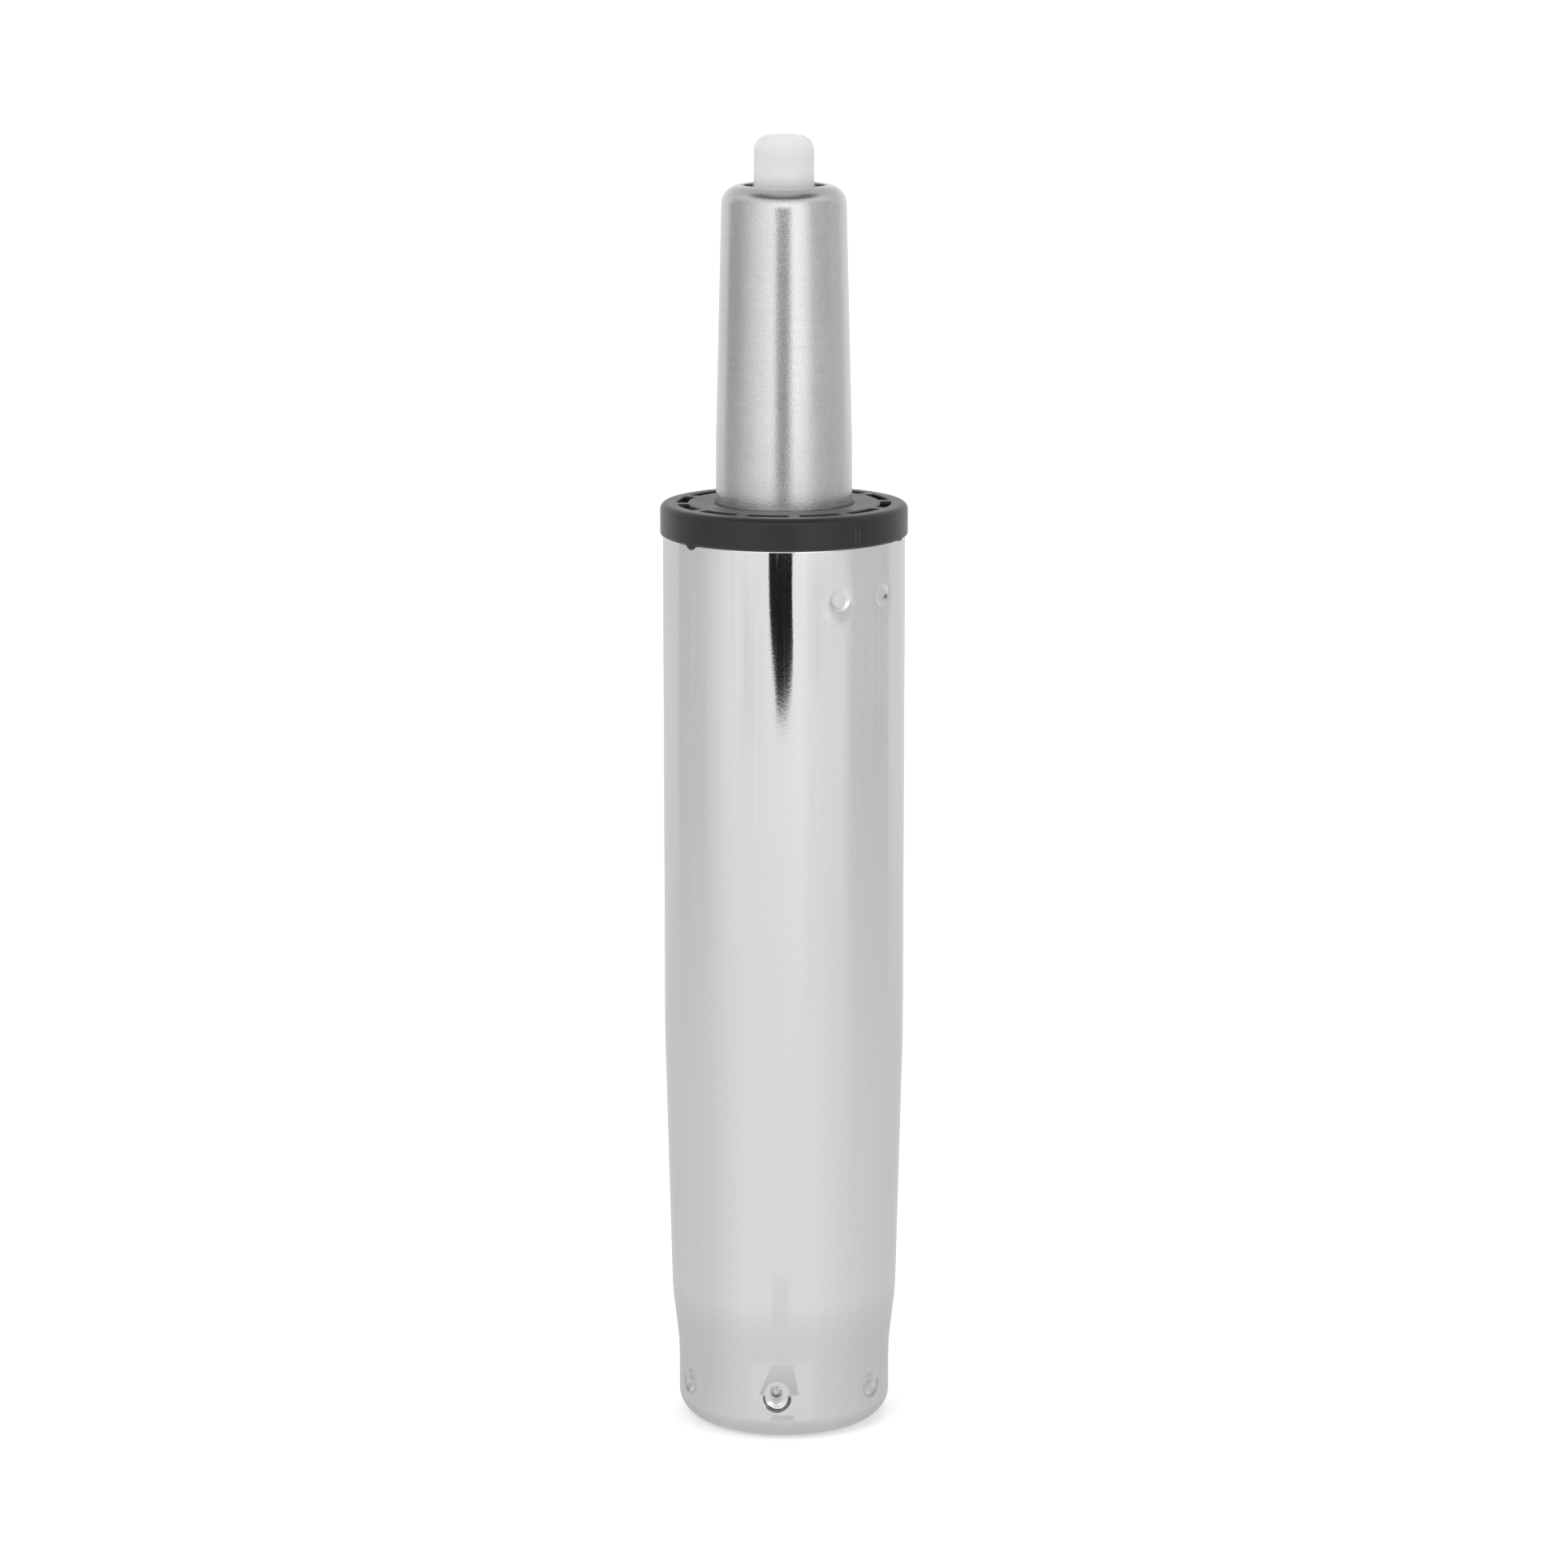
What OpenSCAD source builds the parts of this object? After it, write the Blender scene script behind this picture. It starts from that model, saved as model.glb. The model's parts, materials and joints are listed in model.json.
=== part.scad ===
// Chair gas lift cylinder: a column tube that holds a swivelling gas spring.
// Millimetres. Z = 0 is the column's floor rim, +Z runs up the column and -Y is the front.
// It is drawn fully lowered, with the release button up.

/* [Column tube] */
// Outer diameter of the column tube
tube_d = 50; // [49:0.5:52]
// Wall of the column tube
tube_wall = 2; // [1.6:0.1:2.2]
// Height of the collar's top above the floor rim
column_h = 195; // [185:1:240]
// Height at which the hub cone begins to narrow
cone_top = 83; // [75:1:95]
// Height of the hub cone's narrow end
cone_foot = 27; // [25:1:32]
// Length in which either cone loses 1 mm of diameter
cone_ratio = 19.922; // [18:0.001:24]
// Outer diameter of the neck below the hub cone
neck_d = 44.4; // [43.8:0.2:45.4]
// Height of the top of the straight neck
neck_top = 15.5; // [14:0.5:18]
// Radius of the bends between the hub cone and the neck
neck_round = 60; // [20:5:65]
// Radius of the rolled corner at the floor rim
foot_round = 5.25; // [4.5:0.25:5.5]
// Inner diameter of the rolled-in floor rim
rim_bore_d = 31.6; // [31:0.2:32.4]

/* [Stakes in the column tube] */
// Turn of each stake that locks the collar, from the front towards +X
collar_stake_turns = [27, 54, 207, 234];
// Drop from the tube's top edge to the collar stakes
collar_stake_drop = 10.5; // [8:0.5:14]
// Diameter of a collar stake's mouth
collar_stake_d = 4.6; // [4:0.1:5.4]
// Depth of a collar stake
collar_stake_depth = 0.7; // [0.5:0.1:1]
// Diameter of the shallow dish round a collar stake
stake_dish_d = 10; // [8:0.5:12]
// Depth of the shallow dish round a collar stake
stake_dish_depth = 0.2; // [0.15:0.05:0.3]
// Number of stakes that hold the base plate
foot_stake_count = 6; // [4:1:8]
// Turn of the first base plate stake, from the front towards +X
foot_stake_turn = -4; // [-30:1:30]
// Rise from the base plate's lip to the centre of its stakes
foot_stake_rise = 3; // [2.9:0.1:4]
// Diameter of a base plate stake's mouth
foot_stake_d = 5.8; // [5:0.1:6]
// Depth of a base plate stake
foot_stake_depth = 1.2; // [0.8:0.1:1.3]
// Diameter of the punch mark left in the middle of a base plate stake
punch_pip_d = 2; // [1.4:0.1:2.4]
// Height of the punch mark above the bottom of its stake
punch_pip_h = 0.4; // [0.2:0.1:0.6]

/* [Guide bush with collar] */
// How far the collar stands out over the tube
collar_overhang = 0.5; // [0.4:0.1:1]
// Height of the collar
collar_h = 6.5; // [5.5:0.5:8]
// Radius of the collar's top edge
collar_round = 1.3; // [1:0.1:2.4]
// Thickness of the collar's top over the pockets
collar_top_t = 3.2; // [2.6:0.2:4]
// Length of the sleeve inside the tube
sleeve_l = 68; // [60:1:80]
// Thickness of the sleeve's outer skin
sleeve_skin = 0.95; // [0.8:0.05:1.1]
// Thickness of the wall round the bore
bore_wall = 2.4; // [2:0.1:3]
// Number of ribs, which is also the number of slots in the collar
rib_count = 12; // [8:1:16]
// Width of a rib
rib_w = 2.3; // [1.8:0.1:3]
// Turn of the first rib, from the front towards +X
rib_turn = 5.6; // [0:0.2:20]
// Width of the slots in the collar's top
slot_w = 2.2; // [1.6:0.1:2.6]
// Lead-in at each end of the bore
lead_in = 0.4; // [0.3:0.1:1]

/* [Base plate] */
// Thickness of the base plate
plate_t = 3; // [2.4:0.2:3.4]
// Rise of the plate's middle above its rim
plate_rise = 6; // [5.5:0.5:8]
// Diameter of the raised flat that carries the bearing
plate_flat_d = 29.6; // [29:0.2:30.4]
// Radial run of the plate's sloping wall
plate_slope = 2.6; // [2:0.2:3]
// Height of the lip round the plate's rim
plate_lip_h = 2; // [1.4:0.2:2.4]
// Thickness of the lip round the plate's rim
plate_lip_t = 1.8; // [1.2:0.1:2]

/* [Thrust bearing] */
// Outer diameter of both races
race_d = 28; // [26:0.5:29]
// Bore of both races
race_bore_d = 8.6; // [8.4:0.1:9.4]
// Thickness of one race
race_t = 1.6; // [1.4:0.1:2]
// Diameter of a ball
ball_d = 3.2; // [2.8:0.1:3.5]
// Number of balls
ball_count = 10; // [6:1:12]
// Diameter of the ring on which the balls run
ball_ring_d = 19; // [18:0.5:20]
// Depth of the ball groove in each race
groove_depth = 0.3; // [0.2:0.05:0.4]
// Thickness of the ball cage
cage_t = 1.5; // [1.2:0.1:1.8]
// Play of a ball in its pocket
pocket_play = 0.15; // [0.1:0.05:0.25]

/* [Piston rod and its fastening] */
// Diameter of the piston rod
rod_d = 10; // [9:0.5:11]
// Diameter of the rod's lower spigot
spigot_d = 8; // [7.6:0.1:8.1]
// Diameter of the rod's upper spigot, which carries the piston
stud_d = 6; // [5:0.5:7]
// Length of spigot below the retaining clip
rod_tail = 2.2; // [1.6:0.2:2.6]
// Thickness of the retaining clip
clip_t = 1.2; // [1:0.1:1.4]
// Outer diameter of the retaining clip
clip_d = 15.6; // [14:0.2:17]
// Depth of the clip's groove in the spigot
clip_groove = 0.9; // [0.6:0.1:1.1]
// Outer diameter of the washer between clip and base plate
clip_washer_d = 20; // [18:0.5:22]
// Thickness of the washer between clip and base plate
clip_washer_t = 1.6; // [1.2:0.1:1.8]
// Outer diameter of the washer under the rod's shoulder
shoulder_washer_d = 26; // [24:0.5:28]
// Thickness of the washer under the rod's shoulder
shoulder_washer_t = 2; // [1.6:0.1:2.6]

/* [Rubber buffer] */
// Outer diameter of the rubber buffer
buffer_d = 25; // [22:0.5:27]
// Height of the rubber buffer
buffer_h = 12; // [9:0.5:16]
// Depth of the buffer's waist
buffer_waist = 1.8; // [1:0.1:2.4]
// Thickness of the washer on top of the buffer
buffer_washer_t = 1.5; // [1:0.1:2]

/* [Pressure tube] */
// Outer diameter of the pressure tube
stem_d = 28; // [27.6:0.1:28.4]
// Wall of the pressure tube
stem_wall = 1.5; // [1.3:0.1:1.6]
// Height of the stem's rim above the collar when fully lowered
stem_show = 65; // [60:1:75]
// Length of the seat cone, up to the stem's rim
stem_cone_l = 52; // [46:1:58]
// Radius of the stem's rolled shoulder
shoulder_round = 4; // [3.5:0.1:4.1]
// Width of the shoulder ring, from the stem's side to the opening round the button
shoulder_ring_w = 4.2; // [4:0.1:4.4]
// Opening in the rolled lower end
foot_mouth_d = 19; // [17:0.5:20]
// Travel of the gas spring
stroke = 85; // [70:1:95]

/* [Gland and liner] */
// Height of the rod guide
guide_h = 11; // [9:0.5:14]
// Height of the rod seal
seal_h = 7; // [6:0.5:9]
// Thickness of the washer above the rod seal
seal_washer_t = 1.5; // [1:0.1:2]
// Height of the ring that centres the liner
centring_h = 5; // [4.4:0.2:6]
// Height of the liner's seat on that ring
liner_seat_h = 2; // [1.8:0.1:2.4]
// Width of the bypass notches in that ring
bypass_w = 3; // [2:0.25:4]
// Bore of the liner tube
liner_bore_d = 20.5; // [20:0.1:20.8]
// Wall of the liner tube
liner_wall = 0.75; // [0.6:0.05:0.9]

/* [Piston] */
// Height of the piston
piston_h = 9; // [8:0.5:12]
// Height of the piston's seal
piston_seal_h = 3; // [2.4:0.1:3.4]
// Radial thickness of the piston's seal
piston_seal_t = 1.9; // [1.4:0.1:2.4]
// Outer diameter of the two piston washers
piston_washer_d = 17; // [15:0.5:18]
// Thickness of a piston washer
piston_washer_t = 1.5; // [1:0.1:2]
// Width of the piston nut across its flats
nut_flats = 10; // [9.5:0.1:11]
// Height of the piston nut
nut_h = 5; // [4:0.25:6]

/* [Valve and button] */
// Diameter of the button at its foot
button_d = 12.6; // [12:0.1:13]
// Loss of diameter from the button's foot to its top
button_draft = 0.4; // [0.2:0.1:0.6]
// Height of the button above the stem's rim
button_show = 10; // [8:0.5:12]
// Whole length of the button
button_l = 25; // [22:0.5:27]
// Travel of the button
button_travel = 4; // [3:0.25:5]
// Radius of the button's top edge
button_round = 3; // [2:0.1:3.4]
// Diameter of the valve pin
pin_d = 4; // [3.6:0.1:4.4]
// Diameter of the pin's narrow neck
pin_neck_d = 2.6; // [2:0.1:2.8]
// Depth to which the pin enters the button
pin_grip = 9; // [7:0.5:11]
// Diameter of the chamber that holds the valve's inner rings
chamber_d = 8.4; // [8:0.1:9]
// Length of the guide bore between recess and chamber
pin_guide_l = 8; // [6:0.5:10]
// Height of the pin seals
pin_seal_h = 2.4; // [2:0.1:2.8]
// Height of the slotted spacer between the pin seals
spacer_h = 11.6; // [10:0.2:13]
// Height of the bush that closes the chamber
closing_bush_h = 4; // [3.4:0.2:5]
// Length of the valve body's spigot in the liner
valve_spigot_l = 10; // [9:0.5:12]
// Height of the valve body's port band above the liner
port_band_h = 3; // [2.4:0.2:4]
// Diameter of the gas ports
port_d = 1.4; // [1:0.1:1.8]
// Section of the valve body's two O-rings
o_ring_t = 2.4; // [2:0.1:2.6]

/* [Fits] */
// Radial play of running fits
fit_gap = 0.05; // [0.02:0.01:0.08]
// Radial play of pieces that are pushed or rolled into place
seat_gap = 0.1; // [0.05:0.01:0.15]
// Play left between a stop and what meets it
stop_gap = 0.3; // [0.2:0.05:0.5]

/* [Hidden] */
$fn = 96;
arc_steps = 8;
over = 1;

// Column tube
tube_r = tube_d / 2;
tube_bore_r = tube_r - tube_wall;
tube_top = column_h - collar_h;
hub_cone_r = tube_r - (cone_top - cone_foot) / cone_ratio / 2;
neck_r = neck_d / 2;
neck_bore_r = neck_r - tube_wall;
rim_bore_r = rim_bore_d / 2;
collar_stake_z = tube_top - collar_stake_drop;

// Guide bush
stem_r = stem_d / 2;
collar_r = tube_r + collar_overhang;
bush_bore_r = stem_r + fit_gap;
sleeve_r = tube_bore_r - fit_gap;
sleeve_foot = tube_top - sleeve_l;
slot_out_r = sleeve_r - sleeve_skin;
slot_in_r = slot_out_r - slot_w;
pocket_in_r = bush_bore_r + bore_wall;
pocket_top = column_h - collar_top_t;
window_r = collar_stake_d / 2 + 1.2;
window_floor_r = slot_out_r - 0.3;

// Base plate
plate_r = neck_bore_r - seat_gap;
plate_foot = tube_wall;
plate_under = plate_foot + plate_rise;
plate_top = plate_under + plate_t;
plate_lip_top = plate_foot + plate_t + plate_lip_h;
plate_flat_r = plate_flat_d / 2;
plate_hole_r = spigot_d / 2 + fit_gap;
foot_stake_z = plate_lip_top + foot_stake_rise;

// Bearing, from the plate up
race_r = race_d / 2;
ball_r = ball_d / 2;
groove_r = ball_r + fit_gap;
lower_race_top = plate_top + race_t;
ball_z = lower_race_top - groove_depth + groove_r;
upper_race_foot = ball_z + groove_r - groove_depth;
upper_race_top = upper_race_foot + race_t;
cage_out_r = race_r - 0.6;
cage_in_r = race_bore_d / 2 + 0.8;

// Rod stack below the plate
clip_washer_top = plate_under - seat_gap;
clip_top = clip_washer_top - clip_washer_t - fit_gap;
clip_foot = clip_top - clip_t;
rod_foot = clip_foot - rod_tail;
rod_r = rod_d / 2;
spigot_r = spigot_d / 2;
groove_floor_r = spigot_r - clip_groove;

// Rod stack above the bearing
rod_shoulder = upper_race_top + shoulder_washer_t;
buffer_foot = rod_shoulder;
buffer_top = buffer_foot + buffer_h;
buffer_washer_top = buffer_top + buffer_washer_t;

// Gland, from the pressure tube's rolled lower end up
stem_foot = buffer_washer_top + stop_gap;
stem_bore_r = stem_r - stem_wall;
gland_r = stem_bore_r - seat_gap;
guide_foot = stem_foot + stem_wall;
seal_foot = guide_foot + guide_h;
seal_washer_foot = seal_foot + seal_h;
centring_foot = seal_washer_foot + seal_washer_t;
liner_foot = centring_foot + liner_seat_h;
gland_top = centring_foot + centring_h;
liner_bore_r = liner_bore_d / 2;
liner_r = liner_bore_r + liner_wall;

// Piston, which meets the gland at full height
piston_stack_foot = gland_top + stroke + stop_gap;
piston_foot = piston_stack_foot + piston_washer_t;
piston_top = piston_foot + piston_h;
nut_foot = piston_top + piston_washer_t;
rod_top = nut_foot + nut_h + 1.5;
stud_r = stud_d / 2;
piston_r = liner_bore_r - fit_gap - 0.03;
piston_seal_z = piston_foot + (piston_h - piston_seal_h) / 2;

// Stem and valve, from the stem's rim down
stem_top = column_h + stem_show;
stem_cone_foot = stem_top - stem_cone_l;
stem_cone_top_r = stem_r - stem_cone_l / cone_ratio / 2;
mouth_r = stem_cone_top_r - shoulder_ring_w;
valve_top = stem_top - stem_wall;
button_top = stem_top + button_show;
button_foot = button_top - button_l;
button_r = button_d / 2;
recess_floor = button_foot - button_travel - stop_gap;
pin_r = pin_d / 2;
pin_bore_r = pin_r + fit_gap;
chamber_r = chamber_d / 2;
chamber_top = recess_floor - pin_guide_l;
upper_seal_foot = chamber_top - pin_seal_h;
spacer_foot = upper_seal_foot - spacer_h;
lower_seal_foot = spacer_foot - pin_seal_h;
valve_foot = lower_seal_foot - closing_bush_h;
liner_top = valve_foot + valve_spigot_l;
port_band_top = liner_top + port_band_h;
port_z = liner_top + port_band_h / 2;
valve_spigot_r = liner_bore_r - seat_gap;
o_groove_h = o_ring_t + 0.4;
o_groove_depth = o_ring_t - 0.3;
stem_o_ring_z = port_band_top + 3 + o_groove_h / 2;
liner_o_ring_z = liner_top - 2.4 - o_groove_h / 2;
// The pin's plug stands in the lower seal and leaves it before the button's travel ends
plug_top = spacer_foot + 0.8;
plug_foot = valve_foot - stop_gap;
pin_head_r = pin_r + 1.2;
pin_head_h = 2;

// Inner radius of the stem's bore and outer radius of the stem at a height
function stem_cone_r(z) = stem_r - max(0, z - stem_cone_foot) / cone_ratio / 2;
function stem_bore_at(z) = stem_cone_r(z) - stem_wall;

function unit(v) = v / norm(v);

// Points of the arc that rounds corner p between its neighbours a and b
function corner_arc(a, p, b, r) =
    let (u = unit(a - p), v = unit(b - p),
        half = acos(u * v) / 2,
        centre = p + unit(u + v) * r / sin(half),
        first = p + u * r / tan(half) - centre,
        last = p + v * r / tan(half) - centre,
        start = atan2(first.y, first.x),
        sweep = (atan2(last.y, last.x) - start + 540) % 360 - 180)
    [for (i = [0:arc_steps]) centre + r * [cos(start + sweep * i / arc_steps), sin(start + sweep * i / arc_steps)]];

// A closed outline from corners given as [radius from the axis, height, corner radius]
function rounded(path) =
    let (n = len(path), xy = [for (p = path) [p[0], p[1]]])
    [for (i = [0:n - 1]) each path[i][2] > 0
        ? corner_arc(xy[(i + n - 1) % n], xy[i], xy[(i + 1) % n], path[i][2])
        : [xy[i]]];

module lathe(path) {
    rotate_extrude() polygon(rounded(path));
}

// A washer or ring with all four edges rounded
module ring(r_in, r_out, foot, height, edge = 0) {
    lathe([[r_in, foot, edge], [r_out, foot, edge], [r_out, foot + height, edge], [r_in, foot + height, edge]]);
}

// Moves children from the axis to a place on the column's side, with +X pointing outwards
module on_side(turn, r, z) {
    rotate([0, 0, turn - 90]) translate([r, 0, z]) children();
}

module foot_stakes() {
    for (i = [0:foot_stake_count - 1])
        on_side(foot_stake_turn + i * 360 / foot_stake_count, 0, foot_stake_z) children();
}

module collar_stakes() {
    for (turn = collar_stake_turns) on_side(turn, 0, collar_stake_z) children();
}

// Radius of the ball that presses a stake of this mouth and depth
function stake_ball(d, depth) = (d * d / 4 + depth * depth) / depth / 2;

// Hollow that a stake leaves in the outside of a wall
module stake_hollow(wall_r, d, depth) {
    translate([wall_r - depth + stake_ball(d, depth), 0, 0]) sphere(stake_ball(d, depth));
}

// Bump that the same stake raises on the inside of the wall
module stake_bump(wall_r, d, depth) {
    centre = wall_r - depth + stake_ball(d, depth);
    intersection() {
        translate([centre, 0, 0]) sphere(stake_ball(d, depth) + 0.8 * tube_wall);
        translate([wall_r - tube_wall, 0, 0]) cube([tube_wall * 1.6, d + 4, d + 4], center = true);
    }
}

module outer_tube_wall() {
    lathe([
        [rim_bore_r, 0, 0.4],
        [neck_r, 0, foot_round],
        [neck_r, neck_top, neck_round],
        [hub_cone_r, cone_foot, neck_round],
        [tube_r, cone_top, 0],
        [tube_r, tube_top, 0.3],
        [tube_bore_r, tube_top, 0.3],
        [tube_bore_r, cone_top, 0],
        [hub_cone_r - tube_wall, cone_foot, neck_round],
        [neck_bore_r, neck_top, neck_round],
        [neck_bore_r, tube_wall, foot_round - tube_wall],
        [rim_bore_r, tube_wall, 0.4]
    ]);
}

module outer_tube() {
    color("#d4d7dc") {
        difference() {
            union() {
                outer_tube_wall();
                collar_stakes() stake_bump(tube_r, collar_stake_d, collar_stake_depth);
                foot_stakes() stake_bump(neck_r, foot_stake_d, foot_stake_depth);
            }
            collar_stakes() {
                stake_hollow(tube_r, collar_stake_d, collar_stake_depth);
                stake_hollow(tube_r, stake_dish_d, stake_dish_depth);
            }
            foot_stakes() difference() {
                stake_hollow(neck_r, foot_stake_d, foot_stake_depth);
                punch_pip();
            }
        }
    }
}

// Raised mark in the middle of a base plate stake
module punch_pip() {
    floor_r = neck_r - foot_stake_depth;
    rotate([0, 90, 0]) translate([0, 0, floor_r - over])
        cylinder(h = over + punch_pip_h, d1 = punch_pip_d + 0.6, d2 = punch_pip_d - 0.6);
}

// Plan of the gaps between the ribs, from one radius to another
module between_ribs(r_in, r_out) {
    difference() {
        circle(r_out);
        circle(r_in);
        for (i = [0:rib_count - 1])
            rotate(rib_turn - 90 + i * 360 / rib_count)
                translate([0, -rib_w / 2]) square([r_out + over, rib_w]);
    }
}

module guide_bush() {
    color("#26282a") difference() {
        lathe([
            [bush_bore_r + lead_in, column_h, 0.2],
            [collar_r, column_h, collar_round],
            [collar_r, tube_top, 0.4],
            [sleeve_r, tube_top, 0],
            [sleeve_r, sleeve_foot, 0.3],
            [bush_bore_r + lead_in, sleeve_foot, 0],
            [bush_bore_r, sleeve_foot + lead_in, 0],
            [bush_bore_r, column_h - lead_in, 0]
        ]);
        translate([0, 0, sleeve_foot - over])
            linear_extrude(pocket_top - sleeve_foot + over) between_ribs(pocket_in_r, slot_out_r);
        translate([0, 0, pocket_top - over])
            linear_extrude(collar_top_t + 2 * over) between_ribs(slot_in_r, slot_out_r);
        collar_stakes() rotate([0, 90, 0]) translate([0, 0, window_floor_r])
            cylinder(h = tube_r - window_floor_r, r = window_r);
    }
}

module base_plate() {
    lip_in_r = plate_r - plate_lip_t;
    slope_foot_r = plate_flat_r + plate_slope;
    color("#9aa0a6") lathe([
        [plate_hole_r, plate_top, 0.3],
        [plate_flat_r, plate_top, 1.2],
        [slope_foot_r, plate_foot + plate_t, 0.6],
        [lip_in_r, plate_foot + plate_t, 0],
        [lip_in_r, plate_lip_top, 0.3],
        [plate_r, plate_lip_top, 0.5],
        [plate_r, plate_foot, foot_round - tube_wall + 0.2],
        [slope_foot_r - 2, plate_foot, 1.2],
        [plate_flat_r - 2, plate_under, 1.2],
        [plate_hole_r, plate_under, 0.3]
    ]);
}

// One bearing race, with its ball groove on the side that faces the balls
module race(foot) {
    difference() {
        ring(race_bore_d / 2, race_r, foot, race_t, 0.3);
        rotate_extrude() translate([ball_ring_d / 2, ball_z]) circle(groove_r);
    }
}

module lower_race() {
    color("#b9bdc2") race(plate_top);
}

module upper_race() {
    color("#b9bdc2") race(upper_race_foot);
}

module ball_places() {
    for (i = [0:ball_count - 1])
        rotate([0, 0, i * 360 / ball_count]) translate([ball_ring_d / 2, 0, ball_z]) children();
}

module ball_cage() {
    color("#c8b68a") difference() {
        ring(cage_in_r, cage_out_r, ball_z - cage_t / 2, cage_t, 0.3);
        ball_places() cylinder(h = cage_t + over, r = ball_r + pocket_play, center = true);
    }
}

module bearing_balls() {
    color("#e4e6e8") ball_places() sphere(ball_r);
}

module piston_rod() {
    color("#c3c7cb") lathe([
        [0, rod_foot, 0],
        [spigot_r, rod_foot, 0.8],
        [spigot_r, clip_foot - fit_gap, 0],
        [groove_floor_r, clip_foot - fit_gap, 0],
        [groove_floor_r, clip_top + fit_gap, 0],
        [spigot_r, clip_top + fit_gap, 0],
        [spigot_r, rod_shoulder, 0],
        [rod_r, rod_shoulder, 0.3],
        [rod_r, piston_stack_foot, 0.3],
        [stud_r, piston_stack_foot, 0],
        [stud_r, rod_top, 0.6],
        [0, rod_top, 0]
    ]);
}

// Spring clip with three fingers in the spigot's groove, pushed on from one side
module retaining_clip() {
    finger_r = groove_floor_r + fit_gap;
    band = clip_d / 2 - spigot_r - 1.1;
    finger_w = 2.6;
    color("#7c8187") translate([0, 0, clip_foot]) linear_extrude(clip_t) difference() {
        union() {
            difference() {
                circle(clip_d / 2);
                circle(clip_d / 2 - band);
                translate([0, -finger_r]) square([clip_d, 2 * finger_r]);
            }
            for (turn = [75, 180, 285])
                rotate(turn) translate([0, -finger_w / 2]) square([clip_d / 2 - band / 2, finger_w]);
        }
        circle(finger_r);
    }
}

module clip_washer() {
    color("#a9adb2") ring(spigot_r + seat_gap, clip_washer_d / 2,
        clip_washer_top - clip_washer_t, clip_washer_t, 0.25);
}

module shoulder_washer() {
    color("#a9adb2") ring(spigot_r + seat_gap, shoulder_washer_d / 2, upper_race_top, shoulder_washer_t, 0.25);
}

module rubber_buffer() {
    waist_r = buffer_d / 2 - buffer_waist;
    color("#1b1b1c") lathe([
        [rod_r + seat_gap, buffer_foot, 0],
        [buffer_d / 2, buffer_foot, 1],
        [buffer_d / 2, buffer_foot + buffer_h / 4, 1],
        [waist_r, buffer_foot + buffer_h / 2, 2],
        [buffer_d / 2, buffer_top - buffer_h / 4, 1],
        [buffer_d / 2, buffer_top, 1],
        [rod_r + seat_gap, buffer_top, 0]
    ]);
}

module buffer_washer() {
    color("#a9adb2") ring(rod_r + seat_gap, buffer_d / 2, buffer_top, buffer_washer_t, 0.25);
}

module piston() {
    groove_r_in = piston_r - piston_seal_t;
    color("#8e9399") difference() {
        ring(stud_r + seat_gap, piston_r, piston_foot, piston_h, 0.5);
        difference() {
            translate([0, 0, piston_seal_z - fit_gap]) cylinder(h = piston_seal_h + 2 * fit_gap, r = piston_r + over);
            translate([0, 0, piston_foot]) cylinder(h = piston_h, r = groove_r_in);
        }
    }
}

module piston_seal() {
    color("#202122") ring(piston_r - piston_seal_t + fit_gap, liner_bore_r - fit_gap,
        piston_seal_z, piston_seal_h, 0.5);
}

module piston_washers() {
    color("#a9adb2") for (foot = [piston_stack_foot, piston_top])
        ring(stud_r + seat_gap, piston_washer_d / 2, foot, piston_washer_t, 0.2);
}

module piston_nut() {
    color("#8a8f94") translate([0, 0, nut_foot]) difference() {
        cylinder(h = nut_h, d = nut_flats / cos(30), $fn = 6);
        translate([0, 0, -over]) cylinder(h = nut_h + 2 * over, r = stud_r + fit_gap);
    }
}

module pressure_tube() {
    color("#b4b8bc") lathe([
        [foot_mouth_d / 2, stem_foot, 0.4],
        [stem_r, stem_foot, 2.5],
        [stem_r, stem_cone_foot, 0],
        [stem_cone_top_r, stem_top, shoulder_round],
        [mouth_r, stem_top, 0],
        [mouth_r, valve_top, 0],
        [stem_bore_at(stem_top), valve_top, shoulder_round - stem_wall],
        [stem_bore_r, stem_cone_foot, 0],
        [stem_bore_r, guide_foot, 1],
        [foot_mouth_d / 2, guide_foot, 0.4]
    ]);
}

module liner_tube() {
    color("#c9ccd0") ring(liner_bore_r, liner_r, liner_foot, liner_top - liner_foot, 0.15);
}

module rod_guide() {
    color("#c2a24a") lathe([
        [rod_r + fit_gap, guide_foot, 0.4],
        [gland_r, guide_foot, 1.3],
        [gland_r, seal_foot, 0.3],
        [rod_r + 2.5, seal_foot, 0],
        [rod_r + 2.5, seal_foot - 2, 0],
        [rod_r + fit_gap, seal_foot - 2, 0.3]
    ]);
}

// Lip seal with its groove open to the gas above it
module rod_seal() {
    color("#202122") lathe([
        [rod_r + fit_gap, seal_foot, 0.2],
        [gland_r, seal_foot, 0.2],
        [gland_r, seal_washer_foot, 0.6],
        [gland_r - 2.2, seal_washer_foot, 0.4],
        [gland_r - 2.8, seal_foot + seal_h / 2, 0.8],
        [rod_r + 2.4, seal_foot + seal_h / 2, 0.8],
        [rod_r + 1.8, seal_washer_foot, 0.4],
        [rod_r + fit_gap, seal_washer_foot, 0.3],
        [rod_r + 0.7, seal_foot + seal_h / 2, 0]
    ]);
}

module seal_washer() {
    color("#a9adb2") ring(rod_r + seat_gap, gland_r, seal_washer_foot, seal_washer_t, 0.2);
}

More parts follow.
